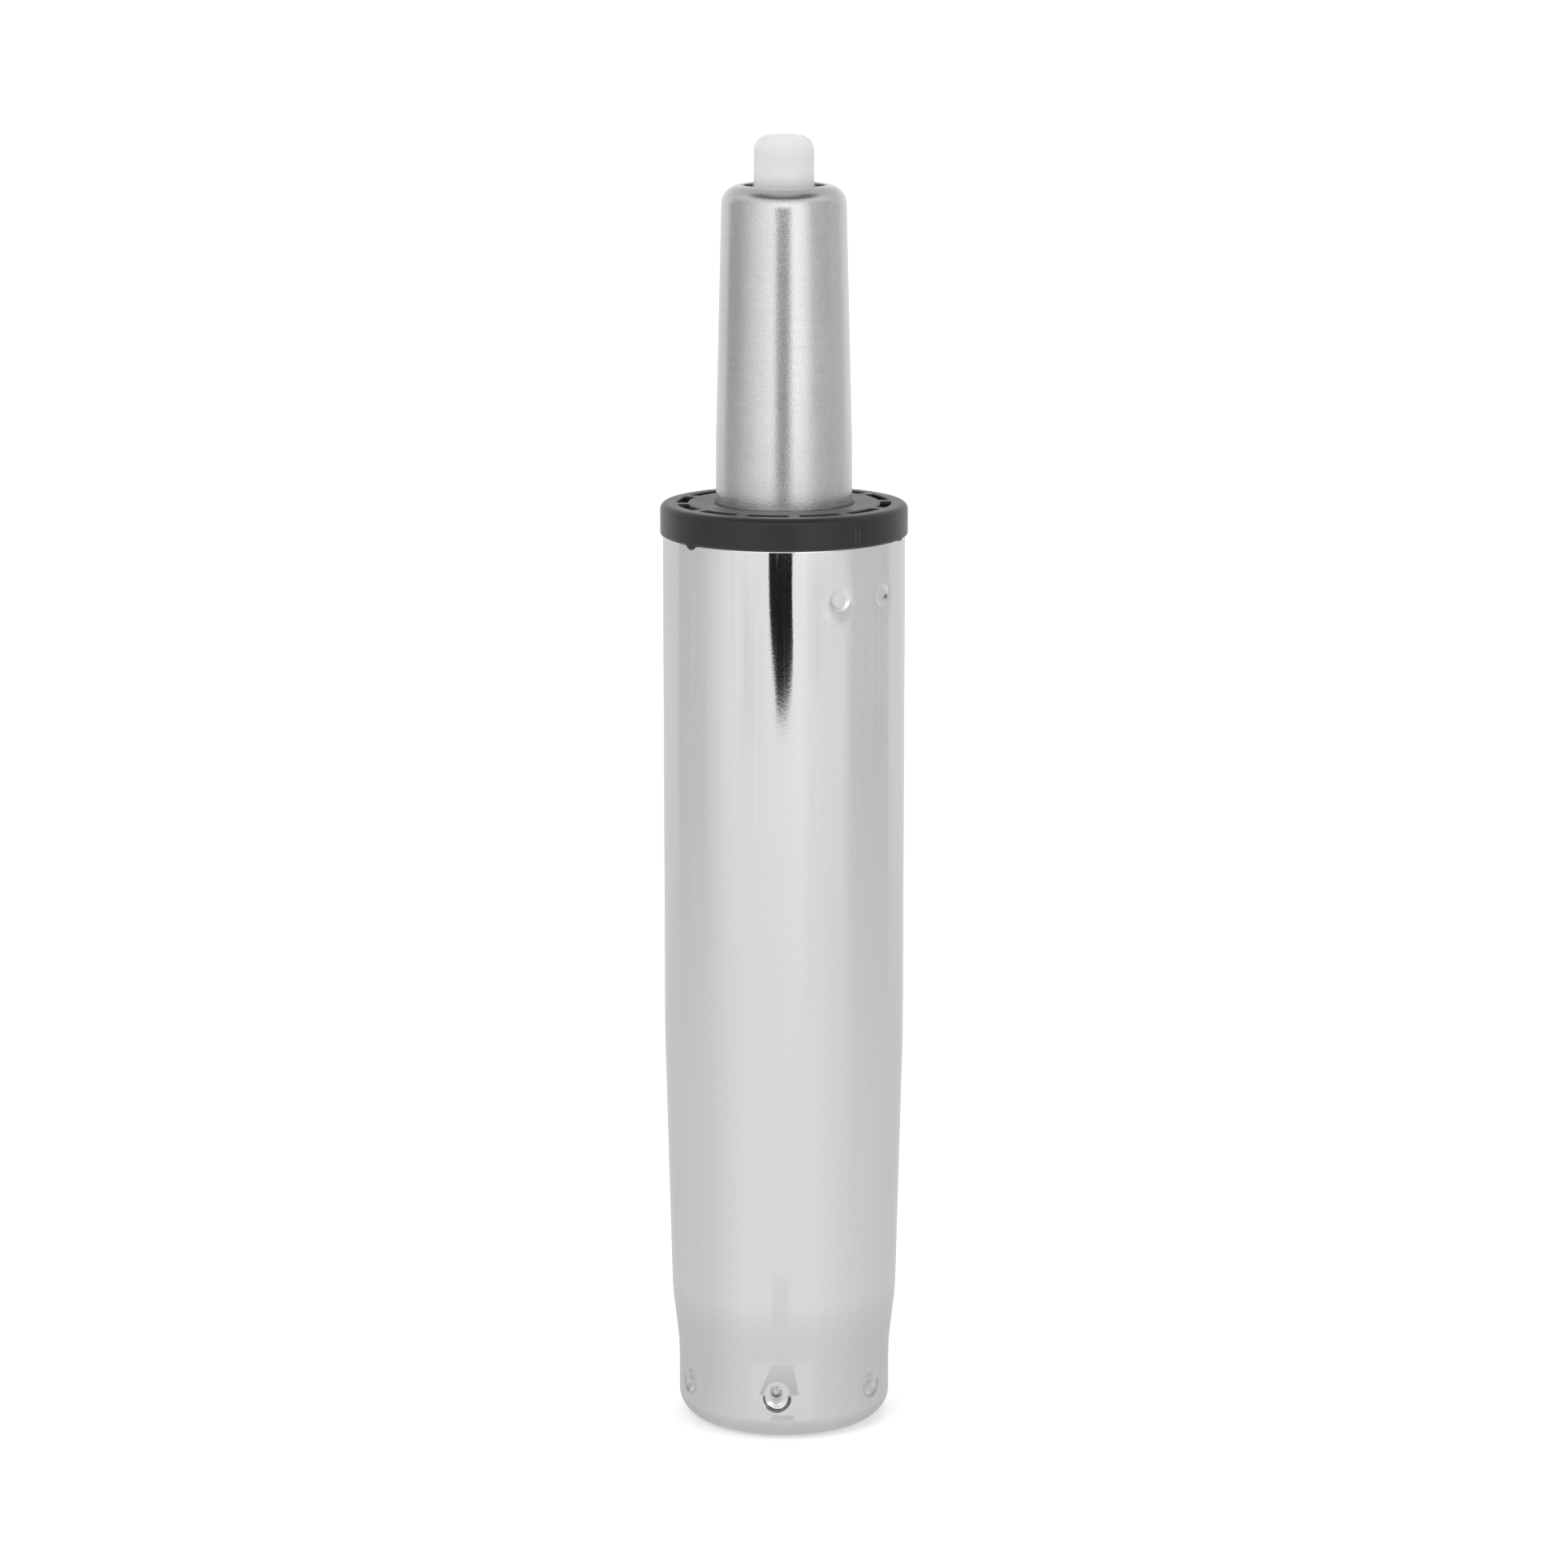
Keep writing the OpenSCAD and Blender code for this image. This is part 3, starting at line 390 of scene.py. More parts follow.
class Finish:
    """A material under construction: one Principled shader, Object coordinates and the shared groups."""

    def __init__(self, name, **constants):
        self.material = bpy.data.materials.new(name)
        self.tree = fresh_tree(self.material)
        self.shader = self.tree.nodes.new("ShaderNodeBsdfPrincipled")
        add(self.tree, "ShaderNodeOutputMaterial", {"Surface": self.shader.outputs[0]})
        self.place = self.tree.nodes.new("ShaderNodeTexCoord").outputs["Object"]
        for key, value in constants.items():
            self.shader.inputs[key.replace("_", " ")].default_value = value

    def use(self, group, **values):
        """Places a shared group and returns its one output."""
        made = self.tree.nodes.new("ShaderNodeGroup")
        made.node_tree = GROUPS[group]
        for key, value in {"Vector": self.place, **values}.items():
            if key not in made.inputs:
                continue
            if isinstance(value, bpy.types.NodeSocket):
                self.tree.links.new(value, made.inputs[key])
            else:
                made.inputs[key].default_value = value
        return made.outputs[0]

    def grain(self, size, stretch=(1, 1, 1), sharpness=0.2, seed=0.0, low=0.0):
        """Noise of a size in metres: the sharper, the smaller its sharpness is."""
        return self.use("grain", Size=size, Stretch=stretch, Low=low, Sharpness=sharpness, Seed=seed)

    def lines(self, pitch, run=0.02):
        """Lines round the axis, of a pitch and a length of run in metres."""
        return self.use("lines", Pitch=pitch, Run=run)

    def scratches(self, spacing, stretch=(1, 1, 1), width=0.012):
        """Scratches at a spacing in metres, as wide as a share of it."""
        return self.use("scratches", Spacing=spacing, Stretch=stretch, Width=width)

    def specks(self, spacing, size=0.15):
        """Specks at a spacing in metres, as large as a share of it."""
        return self.use("specks", Spacing=spacing, Size=size)

    def total(self, first, *rest):
        """Sum of values, some of them given as (value, weight)."""
        values = [self.product(*value) if isinstance(value, tuple) else value for value in (first, *rest)]
        result = values[0]
        for value in values[1:]:
            result = math_node(self.tree, "ADD", result, value)
        return result

    def product(self, *values):
        """Product of values."""
        result = values[0]
        for value in values[1:]:
            result = math_node(self.tree, "MULTIPLY", result, value)
        return result

    def height_mask(self, low, high):
        """0 at one height and 1 at the other, eased at both."""
        z = add(self.tree, "ShaderNodeSeparateXYZ", {0: self.place}).outputs["Z"]
        return smooth_range(self.tree, z, low, high)

    def across(self, turn, radius):
        """Distance round the axis from a turn (degrees, counted from the front towards +X), and height."""
        split = add(self.tree, "ShaderNodeSeparateXYZ", {0: self.place}).outputs
        gap = math_node(self.tree, "SUBTRACT", front_turn(self.tree, split["X"], split["Y"]),
                        math.radians(turn))
        return math_node(self.tree, "MULTIPLY", gap, radius), split["Z"]

    def patch(self, turn, radius, half_width, low, high, soft, fade=None):
        """Mask of a soft-edged patch on a turned surface, between two heights. Its ends may fade over a
        longer stretch than its sides."""
        side, z = self.across(turn, radius)
        fade = fade or soft
        off = math_node(self.tree, "ABSOLUTE", side)
        inside = smooth_range(self.tree, off, half_width + soft, half_width - soft)
        over = smooth_range(self.tree, z, low - fade, low + fade)
        under = smooth_range(self.tree, z, high + fade, high - fade)
        return self.product(inside, over, under)

    def spot(self, side, z, middle, low, high):
        """0 outside one radius round a point (side, z) and 1 inside another."""
        gaps = [math_node(self.tree, "SUBTRACT", value, point) for value, point in zip((side, z), middle)]
        return smooth_range(self.tree, flat_length(self.tree, *gaps), low, high)

    def facet_reflection(self, turn, radius, foot, top):
        """Mask of the dull facet that a staking tool leaves over a stake, where a dark reflection is painted:
        narrower and fainter towards its top, and clear of the punch mark in the stake."""
        side, z = self.across(turn, radius)
        # With height its middle moves to one side and its half width shrinks
        centre = math_node(self.tree, "MULTIPLY_ADD", z, 0.1065, -0.00059)
        half = math_node(self.tree, "MULTIPLY_ADD", z, -0.2935, 0.00719)
        off = math_node(self.tree, "ABSOLUTE", math_node(self.tree, "SUBTRACT", side, centre))
        inside = smooth_range(self.tree, math_node(self.tree, "SUBTRACT", half, off), -0.0002, 0.0003)
        over = smooth_range(self.tree, z, foot - 0.0003, foot + 0.0003)
        under = smooth_range(self.tree, z, top + 0.0004, top - 0.0012)
        faint = math_node(self.tree, "MULTIPLY_ADD", smooth_range(self.tree, z, foot, top), -0.55, 1.0)
        clear = self.spot(side, z, (0.0001, foot + 0.0003), 0.0025, 0.0028)
        return self.product(inside, over, under, faint, clear)

    def stake_shade(self, first, count, radius, height, pip_rise):
        """Masks of painted shade round each of the stakes in a ring: a dark groove at a stake's lower edge, a
        dark ring round its punch mark and a grey patch in the bowl below that."""
        side, z = self.across(first, radius)
        pitch = 2 * math.pi * radius / count
        side = math_node(self.tree, "WRAP", side, pitch / 2, -pitch / 2)
        outer = self.spot(side, z, (0.0001, height), 0.00305, 0.00290)
        inner = self.spot(side, z, (-0.00005, height + 0.0001), 0.00235, 0.00248)
        groove = self.product(outer, inner, smooth_range(self.tree, z, height + 0.0009, height + 0.0001))
        pip = (-0.0001, height + pip_rise)
        rim = self.product(self.spot(side, z, pip, 0.00145, 0.00115), self.spot(side, z, pip, 0.0004, 0.0007))
        bowl_shade = self.spot(side, z, (-0.0001, height + 0.0002), 0.0017, 0.0007)
        return groove, rim, bowl_shade

    def set(self, socket, value):
        """Links a value to one of the shader's inputs."""
        self.tree.links.new(value, self.shader.inputs[socket])

    def tint(self, rgb, value):
        """Base colour, made lighter or darker by a value that changes over the surface."""
        self.set("Base Color", self.use("tint", Color=(*rgb, 1.0), Value=value))

    def bump(self, height, distance):
        """Relief of a depth in metres from a value between 0 and 1."""
        relief = add(self.tree, "ShaderNodeBump", {"Height": height, "Distance": distance})
        self.set("Normal", relief.outputs[0])
        return self


# Finishes


def chrome_plate(c, column):
    """Bright chrome over a drawn tube: faint lines along it, soft smears, fine scratches and painted shade
    and reflections.
    """
    f = Finish("chrome_plate", Metallic=1.0)
    barrel, neck = column.radius, column.neck_radius
    drawn = f.grain(0.0009, stretch=(1, 1, 70), sharpness=0.26)
    broad = f.grain(0.0042, stretch=(1, 1, 22), sharpness=0.22, seed=3.0)
    smears = f.grain(0.018, stretch=(1, 1, 1.6), sharpness=0.16, seed=7.0)
    pits = f.grain(0.0004, sharpness=0.3, seed=11.0)
    scratch = f.scratches(0.03, stretch=(1, 1, 5), width=0.005)
    upper = f.height_mask(0.07, 0.17)
    # Painted light at the front stake: a dark reflection in the dull facet that the tool pressed over it, a
    # highlight on the neck round it and the shadow of its lower lip below it
    # Painted dark reflection in the staking tool's dull facet
    facet_dulling_and_reflection = f.facet_reflection(FOOT_STAKE_TURN, neck, foot=0.0101, top=0.0173)
    # Painted highlight on the neck round the front stake
    plain = f.patch(-1.2, neck, half_width=0.0067, low=0.0045, high=0.0175, soft=0.0009)
    # Painted shadow of the front stake's lower lip, with grain
    painted_lip_shadow = f.product(f.patch(-0.8, neck, half_width=0.0024, low=0.0046, high=0.0058, soft=0.0003),
                      f.grain(0.0003, low=0.2, sharpness=0.15, seed=17.0))
    # The painted shade round the foot stakes is strongest at the stake in front
    front = f.patch(FOOT_STAKE_TURN, neck, half_width=0.006, low=0.004, high=0.014, soft=0.002)
    shade_weight = f.total(0.3, (front, 0.7))
    # Painted shade: a dark groove under each foot stake, a dark ring round its punch mark and a grey patch in
    # its bowl
    groove, pip_ring_shade, bowl_shade = [f.product(mask, shade_weight) for mask in f.stake_shade(
        FOOT_STAKE_TURN, column.foot_stakes, neck, column.foot_stake_height, column.pip_rise)]
    bowl_shade = f.product(bowl_shade, f.grain(0.0004, low=0.3, sharpness=0.2, seed=23.0))
    # Painted shade: a dark comma beside the second collar stake, with lighter flecks above it
    second_stake_place = f.across(COLLAR_STAKE_TURNS[1], barrel)
    comma_shade = f.total(f.spot(*second_stake_place, (0.0014, 0.1775), 0.0007, 0.0003),
                   (f.spot(*second_stake_place, (0.0007, 0.1772), 0.0005, 0.0002), 0.5))
    flecks = f.product(f.spot(*second_stake_place, (0.0014, 0.1791), 0.0017, 0.0006),
                       f.grain(0.00035, low=-0.5, sharpness=0.2, seed=29.0))
    # Darker stripes below the collar, and a painted dark reflection in a strip at the foot of the cone
    stripes = [f.patch(-17.0, barrel, half_width=0.0012, low=0.150, high=0.180, soft=0.0008, fade=0.008),
               f.patch(15.6, barrel, half_width=0.0005, low=0.162, high=0.187, soft=0.0006, fade=0.004)]
    darker_stripes = f.product(f.total(*stripes), f.grain(0.0004, stretch=(1, 1, 60), sharpness=0.15, seed=19.0))
    # Painted dark reflection in a strip at the foot of the cone
    strip = f.patch(-1.8, 0.0236, half_width=0.0017, low=0.0262, high=0.036, soft=0.0006, fade=0.002)
    f.tint(c.chrome, f.total(0.92, (drawn, f.total(0.02, (upper, 0.05))),
                             (broad, f.total(0.015, (upper, 0.04))), (pits, 0.08), (facet_dulling_and_reflection, -0.28),
                             (plain, 0.06), (painted_lip_shadow, -0.3), (darker_stripes, -0.1), (strip, -0.065),
                             (groove, -0.85), (pip_ring_shade, -0.42), (bowl_shade, -0.42), (comma_shade, -0.65),
                             (flecks, 0.12)))
    f.set("Roughness", f.total(0.03, (smears, 0.02), (drawn, 0.03), (scratch, 0.1), (facet_dulling_and_reflection, 0.1),
                               (groove, 0.1), (bowl_shade, 0.15)))
    return f.bump(f.total((drawn, 0.6), (pits, 0.9), (broad, 1.3), (scratch, -1.2)), 1.7e-6).material


def satin_steel(c):
    """Satin ground steel: speckled grain over fine lines round the stem."""
    f = Finish("satin_steel", Metallic=1.0)
    grit = f.grain(0.00034, stretch=(1, 1, 1.2), sharpness=0.25)
    ground = f.lines(0.0004, run=0.006)
    cloud = f.grain(0.009, stretch=(1, 1, 1.8), sharpness=0.2, seed=5.0)
    rub = f.grain(0.0022, stretch=(1, 1, 14), sharpness=0.22, seed=9.0)
    # Painted shade darkens the part that stands just above the bush, which is also rougher, and the stem is
    # lighter and smoother higher up
    clear = f.height_mask(0.196, 0.216)
    shade_near_bush = f.height_mask(0.2035, 0.1955)
    f.tint(c.stem, f.total(0.72, (clear, 0.05), (shade_near_bush, -0.05), (grit, 0.27), (ground, 0.05), (cloud, 0.08),
                           (rub, 0.05)))
    f.set("Roughness", f.total(0.16, (clear, -0.035), (shade_near_bush, 0.06), (grit, 0.07), (cloud, 0.05)))
    return f.bump(f.total((grit, 1.2), (ground, 0.4)), 1.1e-5).material


def bush_plastic(c, bush):
    """Black moulded plastic with a fine spark-eroded grain, pale dust and two thin rubs on the collar."""
    f = Finish("bush_plastic", Sheen_Weight=0.12, Sheen_Roughness=0.45)
    texture = f.grain(0.0003, sharpness=0.25)
    cloud = f.grain(0.006, sharpness=0.2, seed=2.0)
    scuff = f.scratches(0.0035, stretch=(1, 1, 0.6), width=0.012)
    dust = f.specks(0.0013, size=0.13)
    collar = bush.collar_radius
    rubs = [f.patch(34.6, collar, half_width=0.00016, low=0.1896, high=0.1922, soft=0.0002),
            f.patch(36.9, collar, half_width=0.00016, low=0.1898, high=0.1920, soft=0.0002)]
    rub = f.product(f.total(*rubs), f.grain(0.0004, low=0.4, sharpness=0.1, seed=3.0))
    f.tint(c.bush, f.total(0.7, (cloud, 0.4), (texture, 0.8), (scuff, 1.1), (dust, 4.0), (rub, 5.0)))
    f.set("Roughness", f.total(0.27, (cloud, 0.09), (texture, 0.08), (scuff, 0.1)))
    return f.bump(f.total(texture, (scuff, -0.4)), 1.4e-5).material


def button_plastic(c):
    """Natural white plastic that lets a little light through."""
    f = Finish("button_plastic", Subsurface_Weight=0.55, Subsurface_Radius=(1.0, 0.98, 0.96),
               Subsurface_Scale=0.0035, Specular_IOR_Level=0.4)
    cloud = f.grain(0.003, sharpness=0.22)
    fine = f.grain(0.0003, sharpness=0.25, seed=4.0)
    marks = f.scratches(0.004)
    # Painted light: the colour is darker at the top and lighter towards the foot, against the shade that
    # falls there
    f.tint(c.button, f.total(0.88, (f.height_mask(0.2695, 0.2665), 0.08),
                             (f.height_mask(0.2655, 0.2612), 0.13), (cloud, 0.03), (marks, -0.05),
                             (fine, 0.01)))
    f.set("Roughness", f.total(0.36, (cloud, 0.08), (marks, 0.1)))
    return f.bump(f.total((fine, 0.6), cloud), 6e-6).material


def zinc_plate(c):
    """Bright zinc plate: blotched, slightly crystalline."""
    f = Finish("zinc_plate", Metallic=1.0)
    bloom = f.grain(0.0045, sharpness=0.14)
    crystals = f.grain(0.0009, sharpness=0.2, seed=6.0)
    press = f.scratches(0.008, width=0.016)
    f.tint(c.zinc, f.total(0.86, (bloom, 0.12), (crystals, 0.10), (press, 0.12)))
    f.set("Roughness", f.total(0.3, (bloom, 0.12), (crystals, 0.06)))
    return f.bump(f.total(crystals, (press, -0.8)), 8e-6).material


def spring_steel(c):
    """Dark oiled spring steel with stamped faces."""
    f = Finish("spring_steel", Metallic=1.0)
    oil = f.grain(0.003, sharpness=0.2)
    scale = f.grain(0.0005, sharpness=0.2, seed=1.0)
    f.tint(c.spring, f.total(0.8, (oil, 0.25), (scale, 0.15)))
    f.set("Roughness", f.total(0.28, (oil, 0.16)))
    return f.bump(scale, 6e-6).material


def ground_steel(name, rgb, roughness, pitch, relief):
    """Ground or turned metal with lines round the axis."""
    f = Finish(name, Metallic=1.0)
    round_lines = f.lines(pitch)
    cloud = f.grain(0.006, sharpness=0.2)
    f.tint(rgb, f.total(0.9, (round_lines, 0.12), (cloud, 0.05)))
    f.set("Roughness", f.total(roughness, (cloud, roughness * 0.35), (round_lines, roughness * 0.3)))
    return f.bump(round_lines, relief).material


def drawn_steel(c):
    """Cold drawn tube with faint lines along it and a film of oil."""
    f = Finish("drawn_steel", Metallic=1.0)
    along = f.grain(0.0007, stretch=(1, 1, 40), sharpness=0.25)
    oil = f.grain(0.009, sharpness=0.18, seed=8.0)
    f.tint(c.liner, f.total(0.88, (along, 0.12), (oil, 0.06)))
    f.set("Roughness", f.total(0.2, (oil, 0.12), (along, 0.05)))
    return f.bump(along, 3e-6).material


def nylon(name, rgb, depth, relief):
    """Moulded nylon, natural or filled."""
    f = Finish(name, Subsurface_Weight=depth, Subsurface_Scale=0.0015)
    fibre = f.grain(0.0005, stretch=(1, 3, 1), sharpness=0.22)
    cloud = f.grain(0.005, sharpness=0.2, seed=5.0)
    f.tint(rgb, f.total(0.9, (fibre, 0.12), (cloud, 0.1)))
    f.set("Roughness", f.total(0.42, (fibre, 0.12)))
    return f.bump(fibre, relief).material


def rubber(c):
    """Matt black rubber with a pale bloom."""
    f = Finish("rubber", Specular_IOR_Level=0.35)
    bloom = f.grain(0.004, sharpness=0.18)
    fine = f.grain(0.0003, sharpness=0.25, seed=2.0)
    f.tint(c.rubber, f.total(0.8, (bloom, 0.9), (fine, 0.25)))
    f.set("Roughness", f.total(0.62, (bloom, 0.14)))
    return f.bump(fine, 8e-6).material


def make_finishes(scene):
    """One material for each material slot of the record."""
    c = scene.gaslift_colours
    return {
        "chromed_tube": chrome_plate(c, scene.gaslift_column),
        "satin_steel": satin_steel(c),
        "bush_plastic": bush_plastic(c, scene.gaslift_bush),
        "button_plastic": button_plastic(c),
        "zinc_steel": zinc_plate(c),
        "spring_steel": spring_steel(c),
        "bearing_steel": ground_steel("bearing_steel", c.bearing, 0.14, 0.00018, 2e-6),
        "rod_steel": ground_steel("rod_steel", c.rod, 0.1, 0.00012, 1.2e-6),
        "liner_steel": drawn_steel(c),
        "piston_aluminium": ground_steel("piston_aluminium", c.aluminium, 0.24, 0.0003, 5e-6),
        "guide_brass": ground_steel("guide_brass", c.brass, 0.2, 0.00026, 4e-6),
        "cage_plastic": nylon("cage_plastic", c.nylon, 0.3, 6e-6),
        "valve_plastic": nylon("valve_plastic", c.valve, 0.0, 9e-6),
        "rubber": rubber(c),
    }


# Shapes


def rounded(path, step=0.35, hold=0.12, per_degree=1.8, least=5, most=28):
    """Closed outline of (radius, height) points from corners given in millimetres as (radius, height, round).
    A round has steps of about the given length, or a number for each degree if that is fewer. It has short
    straight stretches beside it, so that smooth shading stays in the round."""
    outline = []
    n = len(path)
    for i, (r, z, bend) in enumerate(path):
        here = Vector((r, z))
        before = Vector(path[i - 1][:2]) - here
        after = Vector(path[(i + 1) % n][:2]) - here
        if bend <= 0:
            outline.append(here)
            continue
        u, v = before.normalized(), after.normalized()
        half = u.angle(v) / 2
        centre = here + (u + v).normalized() * bend / math.sin(half)
        reach = bend / math.tan(half)
        first, last = here + u * reach - centre, here + v * reach - centre
        sweep = first.angle_signed(last)
        by_angle, by_length = math.degrees(abs(sweep)) * per_degree, abs(sweep) * bend / step
        count = max(least, min(most, int(by_angle) + 3, int(by_length) + 3))
        if before.length > reach + 3 * hold:
            outline.append(here + u * (reach + hold))
        for k in range(count + 1):
            turn = -sweep * k / count
            outline.append(centre + Vector((first.x * math.cos(turn) - first.y * math.sin(turn),
                                            first.x * math.sin(turn) + first.y * math.cos(turn))))
        if after.length > reach + 3 * hold:
            outline.append(here + v * (reach + hold))
    return [(p.x * MM, p.y * MM) for p in outline]


def split_rows(outline, bands):
    """Adds points to an outline so that no step inside a band is longer than the band's step.
    A band is (least radius, low, high, step) in metres."""
    rows = []
    for i, (r0, z0) in enumerate(outline):
        r1, z1 = outline[(i + 1) % len(outline)]
        cuts = {0.0}
        for least, low, high, step in bands:
            if min(r0, r1) < least or abs(z1 - z0) < 1e-9:
                continue
            bottom, top = max(low, min(z0, z1)), min(high, max(z0, z1))
            if top <= bottom:
                continue
            count = max(1, math.ceil((top - bottom) / step))
            for k in range(count + 1):
                cuts.add(round((bottom + (top - bottom) * k / count - z0) / (z1 - z0), 9))
        rows += [(r0 + (r1 - r0) * t, z0 + (z1 - z0) * t) for t in sorted(cuts) if 0 <= t < 1]
    return rows


def turn_gap(turn, other):
    """Difference of two turns, between minus and plus half a round."""
    return (turn - other + math.pi) % (2 * math.pi) - math.pi


def even_turns(count):
    """Turns that share a whole round evenly."""
    return [2 * math.pi * k / count for k in range(count)]


def column_turns(count, groups):
    """Turns of a mesh's columns round the axis: even ones, and close ones near each place that needs them.
    A group is (turns of its places, reach to either side, step)."""
    turns = even_turns(count)
    for places, reach, step in groups:
        for middle in places:
            turns = [turn for turn in turns if abs(turn_gap(turn, middle)) > reach + step / 2]
            turns += [(middle - reach + k * step) % (2 * math.pi) for k in range(int(2 * reach / step) + 1)]
    return sorted(turns)


def loop_area(outline):
    """Twice the area inside a closed outline, negative where it runs clockwise."""
    return sum(a[0] * b[1] - b[0] * a[1] for a, b in zip(outline, outline[1:] + outline[:1]))


def turned_mesh(name, outline, turns, shift=None):
    """Closed mesh of an outline turned round the Z axis, with its faces outward.
    shift(turn, r, z) gives how far a point moves towards the axis."""
    if loop_area(outline) < 0:
        outline = outline[::-1]
    verts, rings = [], []
    for r, z in outline:
        if r < 1e-7:
            rings.append([len(verts)])
            verts.append((0.0, 0.0, z))
            continue
        rings.append(list(range(len(verts), len(verts) + len(turns))))
        for turn in turns:
            inward = shift(turn, r, z) if shift else 0.0
            # A turn is counted from the front, -Y, towards +X
            verts.append(((r - inward) * math.sin(turn), -(r - inward) * math.cos(turn), z))
    faces = []
    n = len(turns)
    for a, b in zip(rings, rings[1:] + rings[:1]):
        if len(a) == len(b) == 1:
            continue
        for j in range(n):
            k = (j + 1) % n
            # A ring on the axis has one point, and the face there three corners
            corners = (a[j % len(a)], a[k % len(a)], b[k % len(b)], b[j % len(b)])
            faces.append(tuple(dict.fromkeys(corners)))
    return plain_mesh(name, verts, faces)


def place(name, mesh, body, slot, nodes, sharp=35.0):
    """Puts a finished mesh in the scene, on its body and in place of its CAD nodes."""
    mesh.validate()
    mesh.shade_smooth()
    mesh.set_sharp_from_angle(angle=math.radians(sharp))
    mesh.materials.clear()
    mesh.materials.append(FINISHES[slot])
    piece = put(name, mesh)
    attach(piece, body)
    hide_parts(*nodes)


def plain_mesh(name, verts, faces, edges=()):
    """A new mesh of points, faces and loose edges."""
    mesh = bpy.data.meshes.new(name)
    mesh.from_pydata(verts, edges, faces)
    return mesh


def put(name, data):
    """A new object in the scene."""
    made = bpy.data.objects.new(name, data)
    bpy.context.scene.collection.objects.link(made)
    return made


def smooth_step(x):
    """0 below 0 and 1 above 1, eased at both."""
    x = min(1.0, max(0.0, x))
    return x * x * (3 - 2 * x)


def evaluated_mesh(piece, name):
    """The mesh that an object's modifiers make, as a plain mesh. The object itself is removed."""
    graph = bpy.context.evaluated_depsgraph_get()
    mesh = bpy.data.meshes.new_from_object(piece.evaluated_get(graph))
    mesh.name = name
    bpy.data.objects.remove(piece)
    return mesh


def run_tree(name, source, tree, values):
    """Runs a Geometry Nodes tree on a mesh with named input values and returns the plain result."""
    carrier = put(name + "_source", source)
    modifier = carrier.modifiers.new(name, "NODES")
    modifier.node_group = tree
    sockets = {item.name: item.identifier for item in tree.interface.items_tree
               if item.item_type == "SOCKET" and item.in_out == "INPUT"}
    for key, value in values.items():
        modifier[sockets[key]] = value
    return evaluated_mesh(carrier, name)


def geometry_tree(name, inputs):
    """An empty Geometry Nodes tree with named inputs."""
    tree = bpy.data.node_groups.new(name, "GeometryNodeTree")
    tree.interface.new_socket("Geometry", in_out="INPUT", socket_type="NodeSocketGeometry")
    for socket_name, kind, default in inputs:
        socket = tree.interface.new_socket(socket_name, in_out="INPUT", socket_type="NodeSocket" + kind)
        if default is not None:
            socket.default_value = default
    tree.interface.new_socket("Geometry", in_out="OUTPUT", socket_type="NodeSocketGeometry")
    return tree, tree.nodes.new("NodeGroupInput").outputs, tree.nodes.new("NodeGroupOutput").inputs


def finish_tree(tree, geometry, material, out):
    """Ends a tree in Realize Instances and Set Material."""
    real = add(tree, "GeometryNodeRealizeInstances", {0: geometry})
    dressed = add(tree, "GeometryNodeSetMaterial", {"Geometry": real.outputs[0], "Material": material})
    tree.links.new(dressed.outputs[0], out["Geometry"])


def turned_shell_tree():
    """Turns a closed outline round the Z axis. The outline lies in XY: X is the radius and -Y the height."""
    tree, given, out = geometry_tree("Turned Shell", [
        ("Columns", "Int", 96), ("Axis Radius", "Float", 1e-5), ("Finish", "Material", None),
    ])
    path = add(tree, "GeometryNodeCurvePrimitiveCircle", {"Resolution": given["Columns"],
                                                          "Radius": given["Axis Radius"]})
    upright = add(tree, "GeometryNodeSetCurveNormal", {"Curve": path.outputs["Curve"]}, mode="Z_UP")
    profile = add(tree, "GeometryNodeMeshToCurve", {"Mesh": given["Geometry"]})
    shell = add(tree, "GeometryNodeCurveToMesh", {"Curve": upright.outputs["Curve"],
                                                  "Profile Curve": profile.outputs["Curve"]})
    finish_tree(tree, shell.outputs["Mesh"], given["Finish"], out)
    return tree


def round_array_tree():
    """Repeats a sector round the Z axis and joins the copies."""
    tree, given, out = geometry_tree("Round Array", [
        ("Count", "Int", 12), ("First Turn", "Float", 0.0), ("Join Distance", "Float", 1e-6),
        ("Finish", "Material", None),
    ])
    points = add(tree, "GeometryNodeMeshLine", {"Count": given["Count"], "Offset": (0, 0, 0)})
    index = tree.nodes.new("GeometryNodeInputIndex").outputs[0]
    share = math_node(tree, "DIVIDE", 2 * math.pi, given["Count"])
    turn = math_node(tree, "MULTIPLY_ADD", index, share, given["First Turn"])
    spin = add(tree, "ShaderNodeCombineXYZ", {"Z": turn})
    copies = add(tree, "GeometryNodeInstanceOnPoints", {
        "Points": points.outputs["Mesh"], "Instance": given["Geometry"], "Rotation": spin.outputs[0],
    })
    real = add(tree, "GeometryNodeRealizeInstances", {0: copies.outputs[0]})
    joined = add(tree, "GeometryNodeMergeByDistance", {"Geometry": real.outputs[0],
                                                       "Distance": given["Join Distance"]})
    finish_tree(tree, joined.outputs[0], given["Finish"], out)
    return tree


